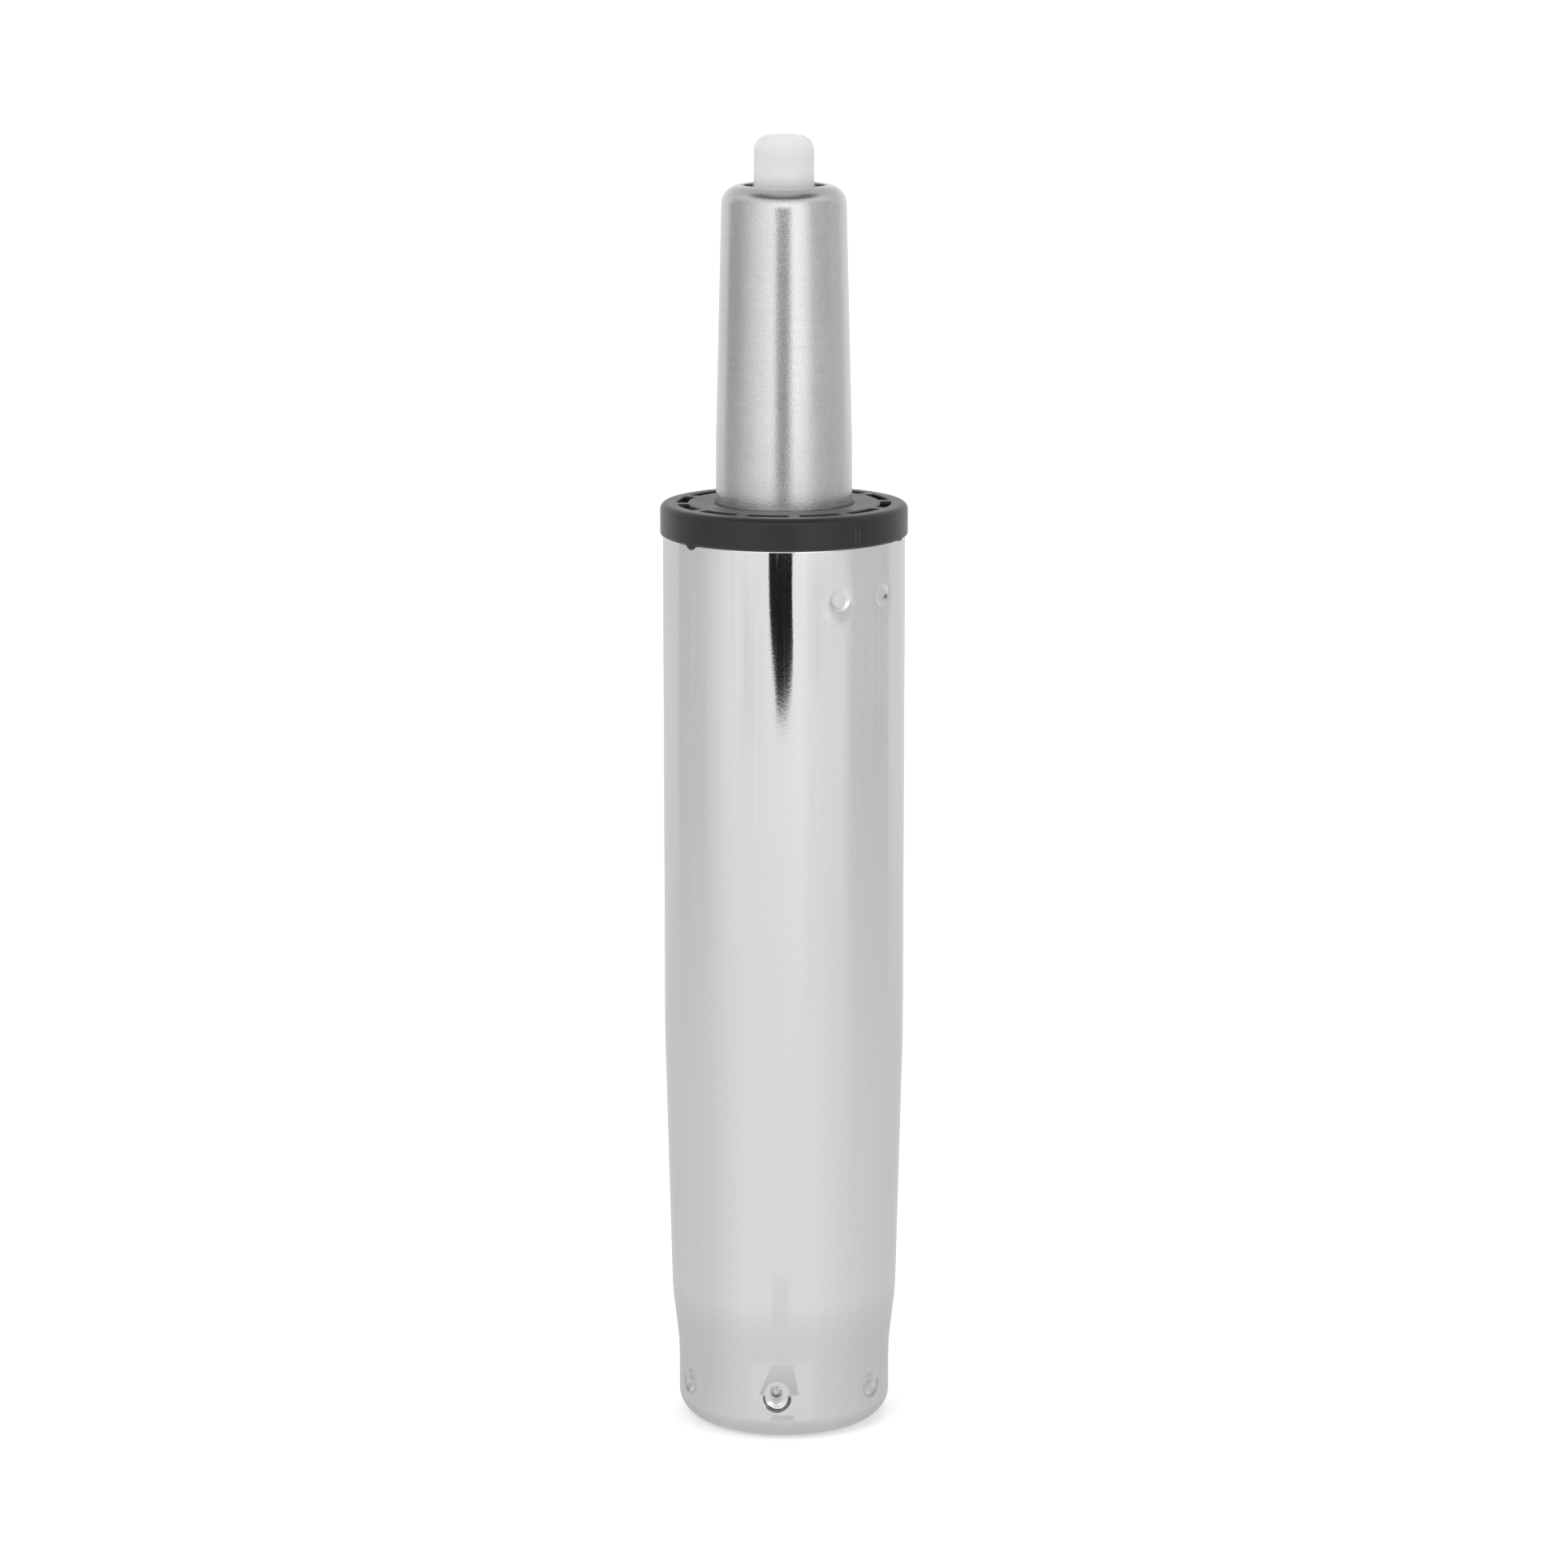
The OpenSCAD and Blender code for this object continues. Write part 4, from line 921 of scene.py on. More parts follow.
def ball_ring_tree():
    """Balls on a ring about the Z axis."""
    tree, given, out = geometry_tree("Ball Ring", [
        ("Count", "Int", 10), ("Ring Radius", "Float", 0.0095), ("Ball Radius", "Float", 0.0016),
        ("Height", "Float", 0.014), ("Finish", "Material", None),
    ])
    ring = add(tree, "GeometryNodeMeshCircle", {"Vertices": given["Count"], "Radius": given["Ring Radius"]})
    lift = add(tree, "ShaderNodeCombineXYZ", {"Z": given["Height"]})
    raised = add(tree, "GeometryNodeSetPosition", {
        "Geometry": ring.outputs["Mesh"], "Offset": lift.outputs[0],
    })
    ball = add(tree, "GeometryNodeMeshUVSphere", {
        "Segments": 40, "Rings": 24, "Radius": given["Ball Radius"],
    })
    copies = add(tree, "GeometryNodeInstanceOnPoints", {
        "Points": raised.outputs[0], "Instance": ball.outputs["Mesh"],
    })
    finish_tree(tree, copies.outputs[0], given["Finish"], out)
    return tree


def turned_shell(name, path, columns, slot):
    """Plain mesh of a closed profile, made by the Turned Shell tree."""
    axis = 1e-5
    outline = rounded(path)
    if loop_area(outline) > 0:
        outline = outline[::-1]
    n = len(outline)
    source = plain_mesh(name + "_outline", [(r - axis, -z, 0.0) for r, z in outline], [],
                        [(i, (i + 1) % n) for i in range(n)])
    return run_tree(name, source, turned_shell_tree(),
                    {"Columns": columns, "Axis Radius": axis, "Finish": FINISHES[slot]})


# Operators, one for each piece or group of like pieces


class GASLIFT_OT_finishes(bpy.types.Operator):
    """Builds the shared shader groups and one finish for each material slot"""
    bl_idname = "gaslift.finishes"
    bl_label = "Make finishes"

    def execute(self, context):
        make_groups()
        FINISHES.update(make_finishes(context.scene))
        return {"FINISHED"}


# In metres: how far below the outer face a point still counts as outside, the run of a collar stake's wall,
# and the lip and wall of a foot stake, inwards from the lip's edge
OUTSIDE = 0.0008
COLLAR_STAKE_WALL = 0.0007
LIP_OUT, LIP_DEPTH, LIP_RUN = 0.0003, 0.0003, 0.0009
WALL_START, WALL_RUN = 0.0008, 0.0012


class GASLIFT_OT_column_tube(bpy.types.Operator):
    """Column tube with its hub cone, rolled foot and pressed stakes"""
    bl_idname = "gaslift.column_tube"
    bl_label = "Column tube"

    def execute(self, context):
        s = context.scene.gaslift_column
        mm = 1 / MM
        r, w = s.radius * mm, s.wall * mm
        neck, cone = s.neck_radius * mm, s.cone_foot_radius * mm
        path = [
            (s.rim_bore * mm, 0, 0.4),
            (neck, 0, s.foot_round * mm),
            (neck, s.neck_top * mm, s.neck_bend * mm),
            (cone, s.cone_foot * mm, s.neck_bend * mm),
            (r, s.cone_top * mm, 0),
            (r, s.top * mm, 0.3),
            (r - w, s.top * mm, 0.3),
            (r - w, s.cone_top * mm, 0),
            (cone - w, s.cone_foot * mm, s.neck_bend * mm),
            (neck - w, s.neck_top * mm, s.neck_bend * mm),
            (neck - w, w, s.foot_round * mm - w),
            (s.rim_bore * mm, w, 0.4),
        ]
        collar_turns = [math.radians(turn) for turn in COLLAR_STAKE_TURNS]
        foot_turns = [math.radians(FOOT_STAKE_TURN) + turn for turn in even_turns(s.foot_stakes)]
        foot_z, collar_z = s.foot_stake_height, s.collar_stake_height
        # Rows and columns lie close together where the stakes are
        foot_reach, collar_reach = 0.0036, 0.0034
        # Between the tube's faces: a row nearer to the axis isn't split
        neck_side, barrel_side = 0.0215, 0.0235
        outline = split_rows(rounded(path), [
            (neck_side, foot_z - foot_reach, foot_z + foot_reach, 0.00018),
            (barrel_side, collar_z - collar_reach, collar_z + collar_reach, 0.00025),
            (barrel_side, collar_z - s.dish_radius, collar_z + s.dish_radius, 0.0006),
            (neck_side, 0.0, s.top, 0.01),
        ])
        turns = column_turns(144, [(foot_turns, foot_reach / s.neck_radius, 0.0002 / s.neck_radius),
                                   (collar_turns, collar_reach / s.radius, 0.00028 / s.radius)])

        def pressed(turn, radius, z):
            """How far the stakes push a point of the outside towards the axis."""
            inward = 0.0
            if radius > s.radius - OUTSIDE and abs(z - collar_z) < s.dish_radius:
                for middle in collar_turns:
                    across = turn_gap(turn, middle) * s.radius
                    inward += self.collar_stake(s, math.hypot(across, z - collar_z))
            elif radius > s.neck_radius - OUTSIDE and z < s.neck_top:
                for middle in foot_turns:
                    inward += self.foot_stake(s, turn_gap(turn, middle) * s.neck_radius, z - foot_z)
            return inward

        mesh = turned_mesh("column_tube", outline, turns, pressed)
        place("column_tube", mesh, "column", "chromed_tube", ["outer_tube"], sharp=60)
        return {"FINISHED"}

    def collar_stake(self, s, away):
        """Depth of a collar stake and of the soft dish round it, at a distance from its middle."""
        depth = 0.0
        if away < s.dish_radius:
            share = max(0.0, (away - s.collar_stake_radius) / (s.dish_radius - s.collar_stake_radius))
            depth += s.dish_depth * (1 - share) ** 3
        if away < s.collar_stake_radius:
            depth += s.collar_stake_depth * smooth_step((s.collar_stake_radius - away) / COLLAR_STAKE_WALL)
        return depth

    def foot_stake(self, s, across, rise):
        """Depth of a foot stake with its raised and dimpled punch mark, at a place beside and above its
        middle. A soft lip leads into a steep wall. The tool came in from above, so the floor leans."""
        rim, away = s.foot_stake_radius + LIP_OUT, math.hypot(across, rise)
        if away >= rim:
            return 0.0
        lean = min(0.72, 0.55 - 0.3 * rise / rim)
        lip = LIP_DEPTH * smooth_step((rim - away) / LIP_RUN)
        bowl = (s.foot_stake_depth * lean - LIP_DEPTH) * smooth_step((rim - WALL_START - away) / WALL_RUN)
        # The punch mark's flank and the dimple in its top keep their share of its radius
        pip_away = math.hypot(across, rise - s.pip_rise)
        pip = s.pip_height * smooth_step((s.pip_radius * 1.3 - pip_away) / (s.pip_radius * 0.85))
        dimple = s.pip_height * 0.4 * smooth_step((s.pip_radius * 0.4 - pip_away) / (s.pip_radius * 0.3))
        return lip + bowl - pip + dimple


def bush_sector(s):
    """One sector of the guide bush, from the middle of one rib to the middle of the next, closed all round
    except where it meets its neighbours. The slot in its top opens into the pocket below."""
    half = math.pi / s.slots
    # Steps of every loop along an arc and along a side
    arc, radial = 24, 8
    top, foot = s.top, s.sleeve_foot

    def on_rim(low_r, high_r, bend):
        """A loop of points (turn, radius) round a slot or pocket: outer arc, side, inner arc, side."""
        corners = [(-1, 1), (1, 1), (1, -1), (-1, -1)]
        mid_r = (low_r + high_r) / 2
        loop = []
        for (ax, ay), (bx, by), count in zip(corners, corners[1:] + corners[:1], (arc, radial, arc, radial)):
            for share in (k / count for k in range(count)):
                x, y = ax + (bx - ax) * share, ay + (by - ay) * share
                radius = mid_r + y * (high_r - low_r) / 2
                loop.append((x * gap_half(radius), radius))
        return round_loop(loop, bend)

    def round_loop(loop, bend):
        """Pulls the four corners of a loop inwards on circles of the given radius."""
        low = min(p[1] for p in loop)
        high = max(p[1] for p in loop)
        rounded_points = []
        for turn, y in loop:
            limit = max(t for t, q in loop if abs(q - y) < (high - low) / radial * 0.51)
            x, near_x = abs(turn) * y, limit * y - bend
            below = y < (low + high) / 2
            centre_y = low + bend if below else high - bend
            dx, dy = x - near_x, (centre_y - y if below else y - centre_y)
            if dx > 0 and dy > 0:
                size, reach = math.hypot(dx, dy), max(dx, dy)
                dx, dy = dx / size * reach, dy / size * reach
                x = near_x + dx
                y = centre_y - dy if below else centre_y + dy
            rounded_points.append((math.copysign(x / y, turn) if abs(turn) > 1e-9 else 0.0, y))
        return rounded_points

    def gap_half(radius):
        """Half the turn of the gap between ribs at a radius."""
        return half - math.asin(s.rib / 2 / radius)

    def sector_rim(outer, inner):
        """Loop round the whole sector at the given outer and inner radius."""
        points = [(-half + 2 * half * k / arc, outer) for k in range(arc)]
        points += [(half, outer + (inner - outer) * k / radial) for k in range(radial)]
        points += [(half - 2 * half * k / arc, inner) for k in range(arc)]
        points += [(-half, inner + (outer - inner) * k / radial) for k in range(radial)]
        return points

    def between(a, b, t):
        """Loop at a share of the way from one loop to another."""
        return [(p[0] + (q[0] - p[0]) * t, p[1] + (q[1] - p[1]) * t) for p, q in zip(a, b)]

    # Rounds of the slot's mouth and of the collar's lower edge, the corner below that edge, and what the
    # lead-in at the top has more than the one at the foot
    fine, low_edge, corner, wider = 0.0003, 0.0004, 0.0001, 0.0002
    # Short straight stretches beside a round keep smooth shading in it
    hold, top_hold = 0.0003, 0.0004
    edge, lead = s.edge, s.lead_in
    slot_rim = on_rim(s.slot_in, s.slot_out, bend=0.0005)
    mid_slot = (s.slot_in + s.slot_out) / 2
    wide = [(math.copysign(abs(turn) + fine / radius, turn) if abs(turn) > 1e-9 else turn,
             radius + (fine if radius > mid_slot else -fine)) for turn, radius in slot_rim]
    top_out, top_in = s.collar_radius - edge, s.bore_radius + lead + wider
    sector_top = sector_rim(top_out, top_in)

    # Down through the slot and the pocket to the sleeve's foot
    rows = [(between(sector_top, wide, share), top) for share in (0, 0.5, 0.92)]
    for k in range(5):
        a = math.radians(22.5 * k)
        rows.append((between(slot_rim, wide, 1 - math.sin(a)), top - fine * (1 - math.cos(a))))
    rows += [(slot_rim, top - fine * 2), (slot_rim, s.pocket_top)]
    pocket = on_rim(s.pocket_in, s.slot_out, bend=0.0004)
    rows += [(pocket, s.pocket_top), (pocket, s.pocket_top - hold)]
    rows += [(pocket, s.pocket_top + (foot - s.pocket_top) * k / 5) for k in range(1, 6)]
    rows.append((sector_rim(s.sleeve_radius - hold, s.bore_radius + lead), foot))

    verts, faces = [], []
    n = len(slot_rim)

    def add_loop(points, z):
        """Adds points (turn, radius) at one height and returns their numbers."""
        start = len(verts)
        verts.extend((radius * math.sin(turn), -radius * math.cos(turn), z) for turn, radius in points)
        return list(range(start, len(verts)))

    loops = [add_loop(points, z) for points, z in rows]
    for a, b in zip(loops, loops[1:]):
        faces.extend((a[i], a[(i + 1) % n], b[(i + 1) % n], b[i]) for i in range(n))

    def strip(outline, first, way):
        """Outside or bore wall between the top loop and the foot loop, from a place in them. It runs with or
        against the turn."""
        index = [i % n for i in range(first, first + arc + 1)]
        columns = [-half + 2 * half * k / arc for k in range(arc + 1)][::way]
        walls = [[loops[0][i] for i in index]]
        walls += [add_loop([(turn, radius) for turn in columns], z) for radius, z in outline]
        walls.append([loops[-1][i] for i in index])
        for above, below in zip(walls, walls[1:]):
            faces.extend((above[i + 1], above[i], below[i], below[i + 1]) for i in range(arc))

    outside = []
    for k in range(1, 13):
        a = math.radians(7.5 * k)
        outside.append((top_out + edge * math.sin(a), top - edge * (1 - math.cos(a))))
    outside += [(s.collar_radius, top - edge - top_hold), (s.collar_radius, s.collar_foot + low_edge + hold)]
    for k in range(7):
        a = math.radians(15 * k)
        outside.append((s.collar_radius - low_edge * (1 - math.cos(a)),
                        s.collar_foot + low_edge * (1 - math.sin(a))))
    outside += [(s.sleeve_radius + corner, s.collar_foot), (s.sleeve_radius, s.collar_foot - corner)]
    outside += [(s.sleeve_radius, s.collar_foot + (foot - s.collar_foot) * k / 5) for k in range(1, 5)]
    outside += [(s.sleeve_radius, foot + hold)]
    bore = [(s.bore_radius + lead, top - wider), (s.bore_radius, top - lead - wider)]
    bore += [(s.bore_radius, top - lead + (foot + 2 * lead - top) * k / 5) for k in range(1, 5)]
    bore += [(s.bore_radius, foot + lead)]
    strip(outside, 0, 1)
    strip(bore, arc + radial, -1)
    return plain_mesh("bush_sector", verts, faces)


# Nibs of flash: turn and reach in degrees, drop in millimetres
FLASH_NIBS = [(-48.5, 3.0, 1.3), (70.5, 2.2, 0.9)]


class GASLIFT_OT_guide_bush(bpy.types.Operator):
    """Black guide bush: one slotted sector, repeated round the axis by Geometry Nodes"""
    bl_idname = "gaslift.guide_bush"
    bl_label = "Guide bush with collar"

    def execute(self, context):
        s = context.scene.gaslift_bush
        # The first sector's middle lies half a slot past the first rib
        mesh = run_tree("collar_bush", bush_sector(s), round_array_tree(), {
            "Count": s.slots, "First Turn": s.rib_turn + math.pi / s.slots, "Join Distance": 2e-6,
            "Finish": FINISHES["bush_plastic"],
        })
        flip_if_inside_out(mesh)
        self.flash(mesh, s)
        place("collar_bush", mesh, "column", "bush_plastic", ["guide_bush"], sharp=40)
        return {"FINISHED"}

    def flash(self, mesh, s):
        """Ragged nibs of flash that hang from the parting line at the collar's lower edge."""
        line, near = s.collar_foot + 0.0002, 0.00035
        for vertex in mesh.vertices:
            x, y, z = vertex.co
            if math.hypot(x, y) < s.collar_radius - near or abs(z - line) > near:
                continue
            turn = math.degrees(math.atan2(x, -y))
            for middle, reach, drop in FLASH_NIBS:
                if abs(turn - middle) < reach:
                    ragged = 0.55 + 0.45 * math.sin(turn * 5.3)
                    vertex.co.z -= drop * MM * ragged * (1 - abs(turn - middle) / reach) ** 0.5


def flip_if_inside_out(mesh):
    """Turns all faces round if the closed mesh encloses a negative volume."""
    volume = 0.0
    for polygon in mesh.polygons:
        corners = [mesh.vertices[i].co for i in polygon.vertices]
        for k in range(1, len(corners) - 1):
            volume += corners[0].dot(corners[k].cross(corners[k + 1]))
    if volume < 0:
        mesh.flip_normals()


class GASLIFT_OT_stem(bpy.types.Operator):
    """Tapered stem of the gas spring, turned from its outline by Geometry Nodes"""
    bl_idname = "gaslift.stem"
    bl_label = "Stem"

    def execute(self, context):
        s = context.scene.gaslift_stem
        mm = 1 / MM
        r, w = s.radius * mm, s.wall * mm
        top, top_r = s.top * mm, s.top_radius * mm
        foot, foot_in = s.foot * mm, (s.foot + s.wall) * mm
        mesh = turned_shell("stem", [
            (s.foot_mouth * mm, foot, 0.4),
            (r, foot, s.foot_round * mm),
            (r, s.cone_foot * mm, 0),
            (top_r, top, s.shoulder * mm),
            (s.mouth * mm, top, 0.25),
            (s.mouth * mm, top - w, 0.2),
            (top_r - w, top - w, s.shoulder * mm - w),
            (r - w, s.cone_foot * mm, 0),
            (r - w, foot_in, 1),
            (s.foot_mouth * mm, foot_in, 0.4),
        ], s.columns, "satin_steel")
        flip_if_inside_out(mesh)
        place("stem", mesh, "gas_cylinder", "satin_steel", ["pressure_tube"])
        return {"FINISHED"}


class GASLIFT_OT_button(bpy.types.Operator):
    """White release button"""
    bl_idname = "gaslift.button"
    bl_label = "Release button"

    def execute(self, context):
        s = context.scene.gaslift_button
        mm = 1 / MM
        top, foot, hole = s.top * mm, s.foot * mm, s.pin_hole * mm
        outline = rounded([
            (hole, foot, 0.3),
            (s.radius * mm, foot, 0.5),
            (s.top_radius * mm, top, s.edge * mm),
            (0, top, 0),
            (0, foot + s.pin_depth * mm, 0),
            (hole, foot + s.pin_depth * mm, 0),
        ])
        mesh = turned_mesh("release_button", outline, even_turns(128))
        place("release_button", mesh, "actuator", "button_plastic", ["button"])
        return {"FINISHED"}


class GASLIFT_OT_foot(bpy.types.Operator):
    """Dished base plate and the clip under it, seen from below"""
    bl_idname = "gaslift.foot"
    bl_label = "Base plate and clip"

    def execute(self, context):
        s = context.scene.gaslift_foot
        mm = 1 / MM
        foot, t = s.plate_foot * mm, s.plate_thickness * mm
        under = foot + s.plate_rise * mm
        top, flat, slope = under + t, s.flat_radius * mm, (s.flat_radius + s.slope) * mm
        # How far the lip stands above the plate beside it, and the lower face's bends inside the upper ones
        lip_rise, inset = 2, 2
        radius, lip_in, lip_top = s.plate_radius * mm, (s.plate_radius - s.lip) * mm, foot + t + lip_rise
        # Its lower corner sits in the tube's rolled foot
        outline = rounded([
            (s.hole * mm, top, 0.3), (flat, top, 1.2), (slope, foot + t, 0.6), (lip_in, foot + t, 0),
            (lip_in, lip_top, 0.3), (radius, lip_top, 0.5), (radius, foot, 3.45),
            (slope - inset, foot, 1.2), (flat - inset, under, 1.2), (s.hole * mm, under, 0.3),
        ])
        place("foot_plate", turned_mesh("foot_plate", outline, even_turns(192)), "column", "zinc_steel",
              ["base_plate"])
        place("clip_ring", self.clip(s), "spindle", "spring_steel", ["retaining_clip"])
        return {"FINISHED"}

    def clip(self, s):
        """Spring clip with three fingers that reach into the rod's groove."""
        # The fingers stand 0.05 mm clear of the rod, and the ring 2 mm
        outer, groove = s.clip_radius, s.groove_radius + 0.00005
        inner, finger_half = groove + 0.0020, 0.0013
        wide, tight = math.asin(finger_half / inner), math.asin(finger_half / groove)
        gap, last = math.asin(groove / outer), 2 * math.pi - math.asin(groove / inner)
        points = [(outer, a) for a in spaced(gap, 2 * math.pi - gap, 96)]
        angle = last
        for middle in (math.radians(285), math.radians(180), math.radians(75)):
            points += [(inner, a) for a in spaced(angle, middle + wide, 14)]
            points += [(groove, a) for a in spaced(middle + tight, middle - tight, 8)]
            angle = middle - wide
        points += [(inner, a) for a in spaced(angle, 2 * math.pi - last, 14)]
        plan = [(r * math.cos(a), r * math.sin(a)) for r, a in points]
        return stamped_plate("clip_ring", plan, s.clip_foot, s.clip_thickness, edge=0.00012)


def spaced(a, b, count):
    """Values from one to another in even steps."""
    return [a + (b - a) * k / count for k in range(count + 1)]


def stamped_plate(name, plan, foot, thickness, edge):
    """Flat stamped piece of a closed plan, with a small bevel round both faces."""
    n = len(plan)
    verts = [(x, y, foot) for x, y in plan] + [(x, y, foot + thickness) for x, y in plan]
    faces = [tuple(range(n))[::-1], tuple(range(n, 2 * n))]
    faces += [(i, (i + 1) % n, n + (i + 1) % n, n + i) for i in range(n)]
    carrier = put(name + "_source", plain_mesh(name, verts, faces))
    bevel = carrier.modifiers.new("edge", "BEVEL")
    bevel.width, bevel.segments, bevel.limit_method = edge, 2, "ANGLE"
    bevel.angle_limit = math.radians(50)
    result = evaluated_mesh(carrier, name)
    flip_if_inside_out(result)
    return result


class GASLIFT_OT_bearing_balls(bpy.types.Operator):
    """Balls of the thrust bearing, set on their ring by Geometry Nodes"""
    bl_idname = "gaslift.bearing_balls"
    bl_label = "Bearing balls"

    def execute(self, context):
        s = context.scene.gaslift_bearing
        mesh = run_tree("ball_ring", bpy.data.meshes.new("ball_ring_source"), ball_ring_tree(), {
            "Count": s.balls, "Ring Radius": s.ring_radius, "Ball Radius": s.ball_radius, "Height": s.height,
            "Finish": FINISHES["bearing_steel"],
        })
        place("ball_ring", mesh, "bearing_cage", "bearing_steel", ["bearing_balls"])
        return {"FINISHED"}


class GASLIFT_OT_inner_parts(bpy.types.Operator):
    """Gives every CAD node the finish of its material slot"""
    bl_idname = "gaslift.inner_parts"
    bl_label = "Finish the inner parts"

    def execute(self, context):
        slots = {part["node"]: part["material_slot"] for part in frame["record"]["subparts"]}
        for name, node in frame["nodes"].items():
            if not node.material_slots:
                node.data.materials.append(FINISHES[slots[name]])
            for slot in node.material_slots:
                slot.link = "OBJECT"
                slot.material = FINISHES[slots[name]]
        return {"FINISHED"}


# Studio


# What bright metal sees round the column, as brightness by turn: 0 is behind, 0.5 in front, 1 behind again.
# NEAR is the floor close to the foot, FAR the one that the barrel shows and AWAY the one that the stem shows.
NEAR = [(0.0, 0.68), (0.12, 0.66), (0.30, 0.74), (0.40, 0.87), (0.58, 0.87), (0.70, 0.75), (0.88, 0.66),
        (1.0, 0.68)]
FAR = [(0.0, 0.70), (0.165, 0.69), (0.175, 0.60), (0.27, 0.63), (0.345, 0.83), (0.46, 0.88), (0.54, 0.93),
       (0.575, 0.84), (0.655, 0.80), (0.69, 0.63), (0.82, 0.61), (0.83, 0.70), (1.0, 0.74)]
AWAY = [(0.0, 0.90), (0.08, 0.84), (0.17, 0.74), (0.18, 0.46), (0.26, 0.48), (0.36, 0.84), (0.44, 1.15),
        (0.56, 1.32), (0.605, 1.1), (0.65, 0.62), (0.74, 0.56), (0.85, 0.66), (0.86, 0.80), (1.0, 0.92)]


def turn_share(tree, vector):
    """Turn of a direction as a share of the whole round, its level length and its height."""
    split = add(tree, "ShaderNodeSeparateXYZ", {0: vector}).outputs
    share = math_node(tree, "MULTIPLY_ADD", front_turn(tree, split["X"], split["Y"]), 0.5 / math.pi, 0.5)
    return share, flat_length(tree, split["X"], split["Y"]), split["Z"]


def floor_material():
    """White floor that keeps the object's shadow for the camera, and shows soft bands to bright metal.
    Seen from below it isn't there."""
    material = bpy.data.materials.new("studio_floor")
    tree = fresh_tree(material)
    share, reach, _ = turn_share(tree, tree.nodes.new("ShaderNodeTexCoord").outputs["Object"])
    outer = mix_colour(tree, smooth_range(tree, reach, 1.15, 1.7), ramp(tree, share, FAR),
                       ramp(tree, share, AWAY))
    band = mix_colour(tree, smooth_range(tree, reach, 0.15, 0.85), ramp(tree, share, NEAR), outer)
    # Close to the foot the floor lies in the column's own shadow. The ramp covers the first 0.2 m
    near = math_node(tree, "MULTIPLY", reach, 5.0)
    shade = ramp(tree, near, [(0.09, 0.64), (0.15, 0.86), (0.28, 0.88), (0.5, 1.0)])
    seen = add(tree, "ShaderNodeEmission", {"Color": band, "Strength": shade})
    matt = add(tree, "ShaderNodeBsdfDiffuse", {"Color": (0.85, 0.85, 0.85, 1.0)})
    # The further out, the less the lamps reach, and the more the floor glows by itself
    glow = math_node(tree, "MULTIPLY_ADD", smooth_range(tree, reach, 0.1, 1.2), 0.27, 0.33)
    lift = add(tree, "ShaderNodeEmission", {"Color": (1, 1, 1, 1), "Strength": glow})
    white = add(tree, "ShaderNodeAddShader", {0: matt.outputs[0], 1: lift.outputs[0]})
    rays = tree.nodes.new("ShaderNodeLightPath").outputs
    for_camera = mix_shader(tree, rays["Is Camera Ray"], matt.outputs[0], white.outputs[0])
    for_metal = mix_shader(tree, rays["Is Glossy Ray"], for_camera, seen.outputs[0])
    clear = tree.nodes.new("ShaderNodeBsdfTransparent")
    back = tree.nodes.new("ShaderNodeNewGeometry").outputs["Backfacing"]
    add(tree, "ShaderNodeOutputMaterial", {"Surface": mix_shader(tree, back, for_metal, clear.outputs[0])})
    return material


def studio_world(strength):
    """Even white light. Bright metal sees light walls and, overhead, a ceiling that is darkest in front."""
    world = bpy.data.worlds.new("studio_world")
    tree = fresh_tree(world)
    share, _, rise = turn_share(tree, tree.nodes.new("ShaderNodeTexCoord").outputs["Generated"])
    aside = math_node(tree, "ABSOLUTE", math_node(tree, "SUBTRACT", share, 0.5))
    front = smooth_range(tree, aside, 0.36, 0.24)
    around = ramp(tree, share, AWAY)
    ceiling = ramp(tree, rise, [(0.0, 0.9), (0.2, 0.75), (0.5, 0.62), (0.9, 0.55), (1.0, 0.55)])
    plain = mix_colour(tree, smooth_range(tree, rise, 0.03, 0.55), around, ceiling)
    ahead = ramp(tree, rise, [(0.0, 0.9), (0.7, 0.8), (0.78, 0.32), (0.85, 0.1), (0.91, 0.2), (0.97, 0.45),
                              (1.0, 0.55)])
    ahead = mix_colour(tree, smooth_range(tree, rise, 0.3, 0.72), around, ahead)
    seen = mix_colour(tree, front, plain, ahead)
    rays = tree.nodes.new("ShaderNodeLightPath").outputs
    soft = add(tree, "ShaderNodeBackground", {"Color": (1, 1, 1, 1), "Strength": strength})
    white = add(tree, "ShaderNodeBackground", {"Color": (1, 1, 1, 1), "Strength": 1.0})
    mirror = add(tree, "ShaderNodeBackground", {"Color": seen, "Strength": 1.0})
    for_camera = mix_shader(tree, rays["Is Camera Ray"], soft.outputs[0], white.outputs[0])
    add(tree, "ShaderNodeOutputWorld",
        {"Surface": mix_shader(tree, rays["Is Glossy Ray"], for_camera, mirror.outputs[0])})
    return world


def card_material(name, grey):
    """A card that looks evenly grey in the metal."""
    material = bpy.data.materials.new(name)
    tree = fresh_tree(material)
    glow = add(tree, "ShaderNodeEmission", {"Color": (grey, grey, grey, 1), "Strength": 1.0})
    add(tree, "ShaderNodeOutputMaterial", {"Surface": glow.outputs[0]})
    return material


# Edges of the dark flag and the grey card in front, in millimetres: across, to the right seen from the
# camera, and up from the floor. Both stand at CARD_Y. The barrel shows the flag as its dark streak, and the
# stem shows the card.
FLAG_EDGE = [(-192, 82), (-204, 64), (-199, 53), (-183, 41), (-168, 35), (-152, 30), (-134, 25.5),
             (-120, 21.5), (-110, 17), (-98, 13.5), (-60, 11.6), (-10, 12), (30, 13.5), (54, 16), (80, 19),
             (100, 23), (112, 28), (118, 34), (114, 41), (106, 51), (104, 64), (112, 72), (130, 79),
             (130, 82)]
CARD_EDGE = [(-192, 84), (158, 84), (158, 300), (-192, 300)]
CARD_Y = -800


